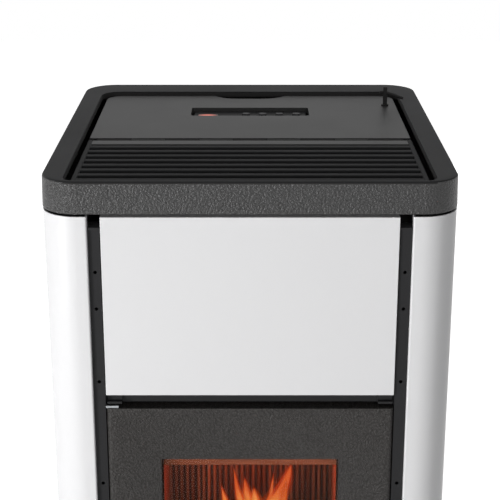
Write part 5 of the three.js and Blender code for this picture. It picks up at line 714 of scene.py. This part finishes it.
def make_side_panel(side, node):
    path = [(PANEL_FOLD_X, -PANEL_FOLD_Y), (PANEL_FOLD_X, -PANEL_Y), (PANEL_X, -PANEL_Y), (PANEL_X, PANEL_Y),
            (PANEL_FOLD_X, PANEL_Y), (PANEL_FOLD_X, PANEL_FOLD_Y)]
    shape = raised_strip([(side * x, y) for x, y in path], PANEL_LOW, PANEL_HIGH)
    upright = [edge for edge in shape.edges if abs(edge.verts[0].co.z - edge.verts[1].co.z) > 0.1]
    bends = [e for e in upright if abs(abs(e.verts[0].co.x) - PANEL_X * MM) < 1e-6]
    bmesh.ops.bevel(shape, geom=bends, offset=BEND_RADIUS * MM, segments=20, profile=0.5,
                    affect="EDGES", material=-1)
    folds = [e for e in shape.edges if len(e.link_faces) == 2
             and e.calc_face_angle(0.0) > math.radians(60.0)]
    bmesh.ops.bevel(shape, geom=folds, offset=FOLD_RADIUS * MM, segments=4, profile=0.5,
                    affect="EDGES", material=-1)
    bmesh.ops.recalc_face_normals(shape, faces=shape.faces)
    outward = sum(f.normal.x * side * f.calc_area() for f in shape.faces if abs(f.normal.x) > 0.9)
    if outward < 0.0:
        bmesh.ops.reverse_faces(shape, faces=shape.faces)
    bmesh.ops.solidify(shape, geom=shape.faces[:], thickness=PANEL_THICK * MM)
    hand_over("enamelled_" + node, shape, "white_enamel", "stove", [node], crisp=40.0)


make_side_panel(-1.0, "side_panel_left")
make_side_panel(1.0, "side_panel_right")

# %% [markdown]
# ## Front panels, door and lid
# The upper front panel and the drawer's front are folded sheets. The door is one iron casting: a flat
# picture frame whose inner part slopes back to the window, covered with small pebbles. The
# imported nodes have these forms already, so softened copies are enough: 1.2 mm on the panels and the
# door, less on the thin lid and rail, none on hinge and catch.

# %% Front panels, door and lid
for node, radius in (("front_panel_upper", 1.2), ("ash_drawer_front", 1.2), ("door_frame", 1.2),
                     ("hopper_lid", 0.6), ("panel_rail", 0.4), ("lid_hinge", 0.0), ("lid_catch", 0.0)):
    soften(node, radius)

# %% [markdown]
# ## Warm air grille
# Eight slats lie across the front of the top, with a dry powder coat. Each is wide above and narrow
# below, so warm air leaves forwards and nothing falls straight in. A slat is a cube: its lower edges
# are moved together, and its upper edges get a wide round, which shows as one thin light line. An
# array modifier could repeat it, but a loop puts slats, cheeks and bars into one mesh.

# %% Warm air grille
SLAT_COUNT, FIRST_SLAT_Y, SLAT_PITCH, SLAT_DEPTH, SLAT_LOW, SLAT_TOP = 8, -87.65, 22.3, 14.0, 939.0, 954.4
GRILLE_X, CHEEK_WIDTH, GRILLE_FRONT, GRILLE_REAR = 213.0, 6.0, -258.0, -54.5
CHEEK_LOW, CHEEK_TOP, FRONT_BAR_LOW, REAR_BAR_DEPTH, REAR_BAR_HIGH = 903.6, 955.0, 938.0, 22.0, 5.0
SLAT_ROUND, SLAT_FOOT = 3.0, (3.0, 7.0)  # the foot's front and rear edge, from the slat's front


def cube_between(shape, low, high):
    verts = bmesh.ops.create_cube(shape, size=1.0)["verts"]
    bmesh.ops.scale(shape, vec=[(b - a) * MM for a, b in zip(low, high)], verts=verts)
    bmesh.ops.translate(shape, vec=[(a + b) / 2.0 * MM for a, b in zip(low, high)], verts=verts)
    return verts


def add_bar(shape, low, high, round_mm, steps=4, foot=None):
    verts = cube_between(shape, low, high)
    middle = (low[2] + high[2]) / 2.0 * MM
    if foot:
        for vert in verts:
            if vert.co.z < middle:
                rear = vert.co.y > (low[1] + high[1]) / 2.0 * MM
                vert.co.y = (low[1] + foot[1 if rear else 0]) * MM
    upper = {edge for vert in verts for edge in vert.link_edges
             if all(end.co.z > middle for end in edge.verts)}
    bmesh.ops.bevel(shape, geom=list(upper), offset=round_mm * MM, segments=steps, profile=0.5,
                    affect="EDGES", material=-1, clamp_overlap=True)


def make_grille():
    shape = bmesh.new()
    between = GRILLE_X - CHEEK_WIDTH / 2.0
    for side in (-1.0, 1.0):
        inner, outer = sorted((side * (GRILLE_X - CHEEK_WIDTH), side * GRILLE_X))
        add_bar(shape, (inner, GRILLE_FRONT, CHEEK_LOW), (outer, GRILLE_REAR, CHEEK_TOP), 1.2)
    add_bar(shape, (-between, GRILLE_FRONT + 1.0, FRONT_BAR_LOW), (between, GRILLE_FRONT + 6.0, SLAT_TOP),
            1.5)
    add_bar(shape, (-between, GRILLE_REAR - REAR_BAR_DEPTH, SLAT_TOP - REAR_BAR_HIGH),
            (between, GRILLE_REAR - 1.0, SLAT_TOP), 1.5)
    for index in range(SLAT_COUNT):
        middle = FIRST_SLAT_Y - index * SLAT_PITCH
        add_bar(shape, (-between, middle - SLAT_DEPTH / 2.0, SLAT_LOW),
                (between, middle + SLAT_DEPTH / 2.0, SLAT_TOP), SLAT_ROUND, 5, SLAT_FOOT)
    for face in shape.faces:
        middle = face.calc_center_median()
        if middle.y > (GRILLE_REAR - REAR_BAR_DEPTH - 0.5) * MM and abs(middle.x) < between * MM:
            face.material_index = 1
    hand_over("slatted_grille", shape, "slat_paint", "stove", ["warm_air_grille"],
              crisp=40.0, also=("lid_paint",))


make_grille()

# %% [markdown]
# ## Liner of the firebox
# Behind the glass stands a ribbed steel liner. A brake can't fold ribs this close, so they are pressed,
# 7.9 mm apart. A wave texture would give ribs without depth; here a line of points is pushed upwards
# and then given its thickness. In the picture no two ribs look the same, so a fixed seed varies their
# depth and lean.

# %% Ribbed liner
LINER_X, LINER_LOW, LINER_HIGH, LINER_BACK, LINER_THICK = 141.7, 274.3, 596.0, -60.4, 0.6
RIB_COUNT, RIB_SEED = 36, 7
# place across a rib as a part of its width, and depth there in millimetres
RIB_PROFILE = ((0.0, 0.0), (0.18, 0.0), (0.28, 2.2), (0.42, 3.4), (0.58, 3.6), (0.72, 3.4), (0.86, 2.2))
RIB_DEEPEST = 3.6


def make_liner():
    pitch = 2.0 * LINER_X / RIB_COUNT
    dice = random.Random(RIB_SEED)
    profile = []
    for rib in range(RIB_COUNT):
        start = -LINER_X + rib * pitch
        reach, lean = dice.uniform(0.55, 1.0), dice.uniform(-0.1, 0.1)
        for part, depth in RIB_PROFILE:
            x = start + (part + lean * depth / RIB_DEEPEST) * pitch
            profile.append((x, LINER_BACK - depth * reach))
    profile.append((LINER_X, LINER_BACK))
    shape = raised_strip(profile, LINER_LOW, LINER_HIGH)
    bmesh.ops.recalc_face_normals(shape, faces=shape.faces)
    if sum(face.normal.y * face.calc_area() for face in shape.faces) > 0.0:
        bmesh.ops.reverse_faces(shape, faces=shape.faces)
    bmesh.ops.solidify(shape, geom=shape.faces[:], thickness=LINER_THICK * MM)
    hand_over("pressed_rib_liner", shape, "liner_steel", "stove", ["rib_liner_back"],
              crisp=20.0)


make_liner()

# %% [markdown]
# ## Lintel of the firebox
# A narrow lintel of heat-tinted steel hangs behind the top of the glass, and shows as an orange band.
# A cube that is scaled and moved is enough for it, with a small bevel.

# %% Lintel
LINTEL_LOW, LINTEL_HIGH, LINTEL_ROUND = (-114.0, -240.8, 574.0), (114.0, -239.0, 594.0), 0.5


def make_lintel():
    shape = bmesh.new()
    cube_between(shape, LINTEL_LOW, LINTEL_HIGH)
    bmesh.ops.bevel(shape, geom=shape.edges[:], offset=LINTEL_ROUND * MM, segments=2, profile=0.5,
                    affect="EDGES", material=-1, clamp_overlap=True)
    hand_over("firebox_lintel", shape, "lintel", "stove")


make_lintel()

# %% [markdown]
# ## Fire
# Flames are burning gas, not a solid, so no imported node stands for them, and they only give out light:
# pale yellow near the pot, orange at the tip. A volume could glow too, but it is slow and noisy to
# render. Instead a bright core sits in a half clear sheath, and the sheath in a thin haze.

# %% Flame finish
FIRE_LOW, FIRE_HIGH = 430.0, 520.0  # the heights over which the colour goes from hot to cool
LICK_MM, LICK_STRETCH = 9.0, 0.3  # size of the streaks in a flame, drawn out upwards


# Hot soot in burning gas: each point glows by itself, and what lies behind still shows through.
def burning_gas(name, stops, cover):
    material, tree, output, place = new_material(name)
    height = add_node(tree, "ShaderNodeSeparateXYZ", {}, Vector=place)
    level = add_node(tree, "ShaderNodeMapRange", {"From Min": FIRE_LOW * MM, "From Max": FIRE_HIGH * MM},
                     Value=height.outputs["Z"])
    stretched = add_node(tree, "ShaderNodeMapping", {"Scale": (1.0, 1.0, LICK_STRETCH)}, Vector=place)
    licks = add_node(tree, "ShaderNodeTexNoise", grain(LICK_MM, 3.0),
                     Vector=stretched.outputs["Vector"]).outputs["Fac"]
    cooler = add_node(tree, "ShaderNodeMath", {"operation": "MULTIPLY_ADD", 1: 0.7}, _0=licks,
                      _2=level.outputs[0])
    colour = add_node(tree, "ShaderNodeValToRGB", {"stops": stops}, Fac=cooler.outputs[0]).outputs["Color"]
    fire = add_node(tree, "ShaderNodeEmission", {"Strength": 1.0}, Color=colour)
    air = add_node(tree, "ShaderNodeBsdfTransparent")
    mix = add_node(tree, "ShaderNodeMixShader", {0: cover}, _1=air.outputs[0], _2=fire.outputs[0])
    tree.links.new(mix.outputs[0], output.inputs["Surface"])
    return material


# inner flame: nearly white yellow, and hardly clear
finishes["flame_core"] = burning_gas(
    "burning_gas_core", [(0.2, "ffe9a8"), (0.7, "ffb765"), (1.0, "f5803c")], cover=0.8)
# flame round it: orange, half clear
finishes["flame_sheath"] = burning_gas(
    "burning_gas_sheath", [(0.2, "ffb058"), (0.7, "ef6a2a"), (1.0, "c83f1c")], cover=0.42)
# outer glow: dull red, mostly clear
finishes["flame_haze"] = burning_gas(
    "burning_gas_haze", [(0.2, "f58a3c"), (0.7, "c9501e"), (1.0, "8c2c12")], cover=0.2)
print("flames cool down from", FIRE_LOW, "to", FIRE_HIGH, "mm")

# %% [markdown]
# ## Tongues of flame
# Each tongue starts as a sphere whose rings are moved along a bent line and narrowed to a point. The
# three layers of a tongue follow the same line and differ in width and height only.

# %% Tongues of flame
POT_MIDDLE_Y, FLAME_FOOT = -140.0, 405.0
# foot x, tip x, tip height, width, sway and taper of each tongue, in mm
TONGUES = ((-4.0, -23.0, 523.0, 9.0, 5.0, 0.6), (20.0, 55.0, 521.0, 14.0, 9.0, 0.2),
           (22.0, 33.0, 504.0, 5.5, 2.0, 0.45), (-18.0, -40.0, 490.0, 9.0, 5.0, 0.5),
           (0.0, -8.0, 500.0, 11.0, 4.0, 0.4), (6.0, 6.0, 484.0, 14.0, 3.0, 0.4),
           (34.0, 50.0, 500.0, 9.0, -5.0, 0.4))
# name of each layer, how much higher its tip is in mm, and its width as a part of the tongue's
LAYERS = (("flame_core", -3.0, 0.6), ("flame_sheath", 0.0, 1.0), ("flame_haze", 3.0, 1.45))


def make_tongue(name, index, foot_x, tip_x, tip_z, width, wave, taper, finish):
    shape = bmesh.new()
    bmesh.ops.create_uvsphere(shape, u_segments=20, v_segments=28, radius=1.0)
    for vert in shape.verts:
        part = (vert.co.z + 1.0) / 2.0
        thin = (1.0 - part) ** taper * width
        x = foot_x + (tip_x - foot_x) * part ** 1.4
        x += wave * math.sin(part * 7.0 + index * 2.0) * part * (1.1 - part)
        y = POT_MIDDLE_Y + 5.0 * math.sin(part * 5.0 + index) + (index % 3 - 1) * 6.0
        z = FLAME_FOOT + part * (tip_z - FLAME_FOOT)
        vert.co = Vector((x + vert.co.x * thin, y + vert.co.y * thin * 0.6, z)) * MM
    hand_over(name, shape, finish, "burn_pot", crisp=60.0)


for index, (foot_x, tip_x, tip_z, width, wave, taper) in enumerate(TONGUES):
    for layer, higher, wider in LAYERS:
        make_tongue("%s_%d" % (layer, index + 1), index, foot_x, tip_x, tip_z + higher, width * wider,
                    wave, taper, layer)

# %% [markdown]
# ## Light of the fire
# A fire colours the liner, the pot and the glass round it. The flames' own glow is too weak to do that
# within few samples, so two small orange lamps, not seen themselves, stand for it.


# %% Light of the fire
def add_fire_light(name, place, power, radius):
    data = bpy.data.lights.new(name, "POINT")
    data.energy = power
    data.color = linear("ff5f1a")[:3]
    data.shadow_soft_size = radius
    lamp = bpy.data.objects.new(name, data)
    lamp.location = place
    lamp.visible_camera = lamp.visible_glossy = lamp.visible_transmission = False
    bpy.context.scene.collection.objects.link(lamp)
    print(name, "gives", power, "watts")


add_fire_light("fire_low", (-0.01, -0.165, 0.45), 0.8, 0.02)
add_fire_light("fire_high", (0.03, -0.165, 0.51), 0.6, 0.02)

# %% [markdown]
# ## Wood pellets
# Pellets are rods of pressed sawdust, 6 mm thick and up to 20 mm long. In the burn pot they glow where
# air reaches them, and in the hopper they are dry and pale brown with a dull skin.

# %% Finishes of pellets and embers
EMBER_MM = 7.0  # size of the patches that glow


# Burning wood: glowing patches between dark char, so that the pot looks alive.
def ember_glow(name, hot, cool):
    material, tree, output, place = new_material(name)
    patches = add_node(tree, "ShaderNodeTexNoise", grain(EMBER_MM, 3.0), Vector=place).outputs["Fac"]
    glow = add_node(tree, "ShaderNodeValToRGB", {"stops": [(0.35, cool), (0.62, hot)]},
                    Fac=patches).outputs["Color"]
    shader = add_node(tree, "ShaderNodeBsdfPrincipled", {"Base Color": linear("2a1d16"), "Roughness": 0.9,
                      "Emission Strength": 1.0})
    tree.links.new(glow, shader.inputs["Emission Color"])
    tree.links.new(shader.outputs[0], output.inputs["Surface"])
    return material


finishes["ember"] = ember_glow("glowing_wood_embers", "ff9a3a", "3a0d04")
# sawdust pressed through a hot die: pale brown, mottled, with fine cracks across
finishes["pellet"] = powder_coat("pressed_wood_pellets", "9a7850", 0.85, 2.0, 0.1, 0.25, 0.15, 0.2)
print("finishes in all:", len(finishes))

# %% [markdown]
# ## Beds of pellets
# Each pellet is a six-sided cylinder, turned by random angles from a fixed seed, so the bed is the same
# in each run. A real hopper is full to its floor. Only one layer is made, as the rest can't be seen.

# %% Beds of pellets
PELLET_RADIUS = 3.0


def pellet_bed(name, finish, body, seed, count, low, high, lengths):
    rng = random.Random(seed)
    shape = bmesh.new()
    for _ in range(count):
        turn = Matrix.Rotation(rng.uniform(0.0, math.tau), 4, "Z") @ Matrix.Rotation(
            math.radians(90.0 + rng.uniform(-24.0, 24.0)), 4, "X")
        spot = Vector([rng.uniform(a, b) for a, b in zip(low, high)]) * MM
        bmesh.ops.create_cone(shape, cap_ends=True, segments=6, radius1=PELLET_RADIUS * MM,
                              radius2=PELLET_RADIUS * MM, depth=rng.uniform(*lengths) * MM,
                              matrix=Matrix.Translation(spot) @ turn)
    hand_over(name, shape, finish, body, crisp=40.0)


pellet_bed("ember_bed", "ember", "burn_pot", 3, 110, (-25.0, -165.0, 392.0), (25.0, -115.0, 404.0),
           (8.0, 14.0))
pellet_bed("hopper_pellets", "pellet", "stove", 7, 900, (-118.0, 36.0, 796.0), (118.0, 200.0, 806.0),
           (10.0, 20.0))

# %% [markdown]
# ## The other imported parts
# The rest are small parts with the right form already: posts, liners, brackets, fans, feet and so on.
# A softened copy is enough for them, with the widest round on handle and feet. Fan wheels and the
# screw only get smooth shading. Gasket, lid seal and hopper grid need nothing more and stay as imported.

# %% Softened copies of the small parts
SOFT_EDGES = {
    "front_post_left": 0.5, "front_post_right": 0.5, "side_liner_left": 0.5, "side_liner_right": 0.5,
    "door_handle": 0.8, "latch_keeper": 0.3, "hinge_bracket_upper": 0.4, "hinge_bracket_lower": 0.4,
    "ash_drawer": 0.4, "base_plate": 0.4, "rear_panel": 0.4, "deck_plate": 0.3, "hopper": 0.3,
    "foot_front_left": 0.6, "foot_front_right": 0.6, "foot_rear_left": 0.6, "foot_rear_right": 0.6,
    "burn_pot": 0.5, "burn_pot_support": 0.4, "firebox_shell": 0.4, "firebox_stand_left": 0.4,
    "firebox_stand_right": 0.4, "flue_outlet": 0.3, "air_inlet": 0.3, "power_inlet": 0.3, "power_switch": 0.3,
    "control_panel": 0.4, "glass_retainer": 0.4, "auger_motor": 0.4, "flue_fan_housing": 0.4,
    "room_fan_housing": 0.4, "pellet_chute": 0.4, "heat_exchanger": 0.3, "control_board": 0.3,
    "button_1": 0.3, "button_2": 0.3, "button_3": 0.3, "button_4": 0.3, "auger_tube": 0.2, "igniter": 0.2,
    "flue_fan_wheel": 0.0, "room_fan_wheel": 0.0, "auger_screw": 0.0, "door_glass": 0.3, "display_lens": 0.3,
}
for node, radius in SOFT_EDGES.items():
    soften(node, radius)
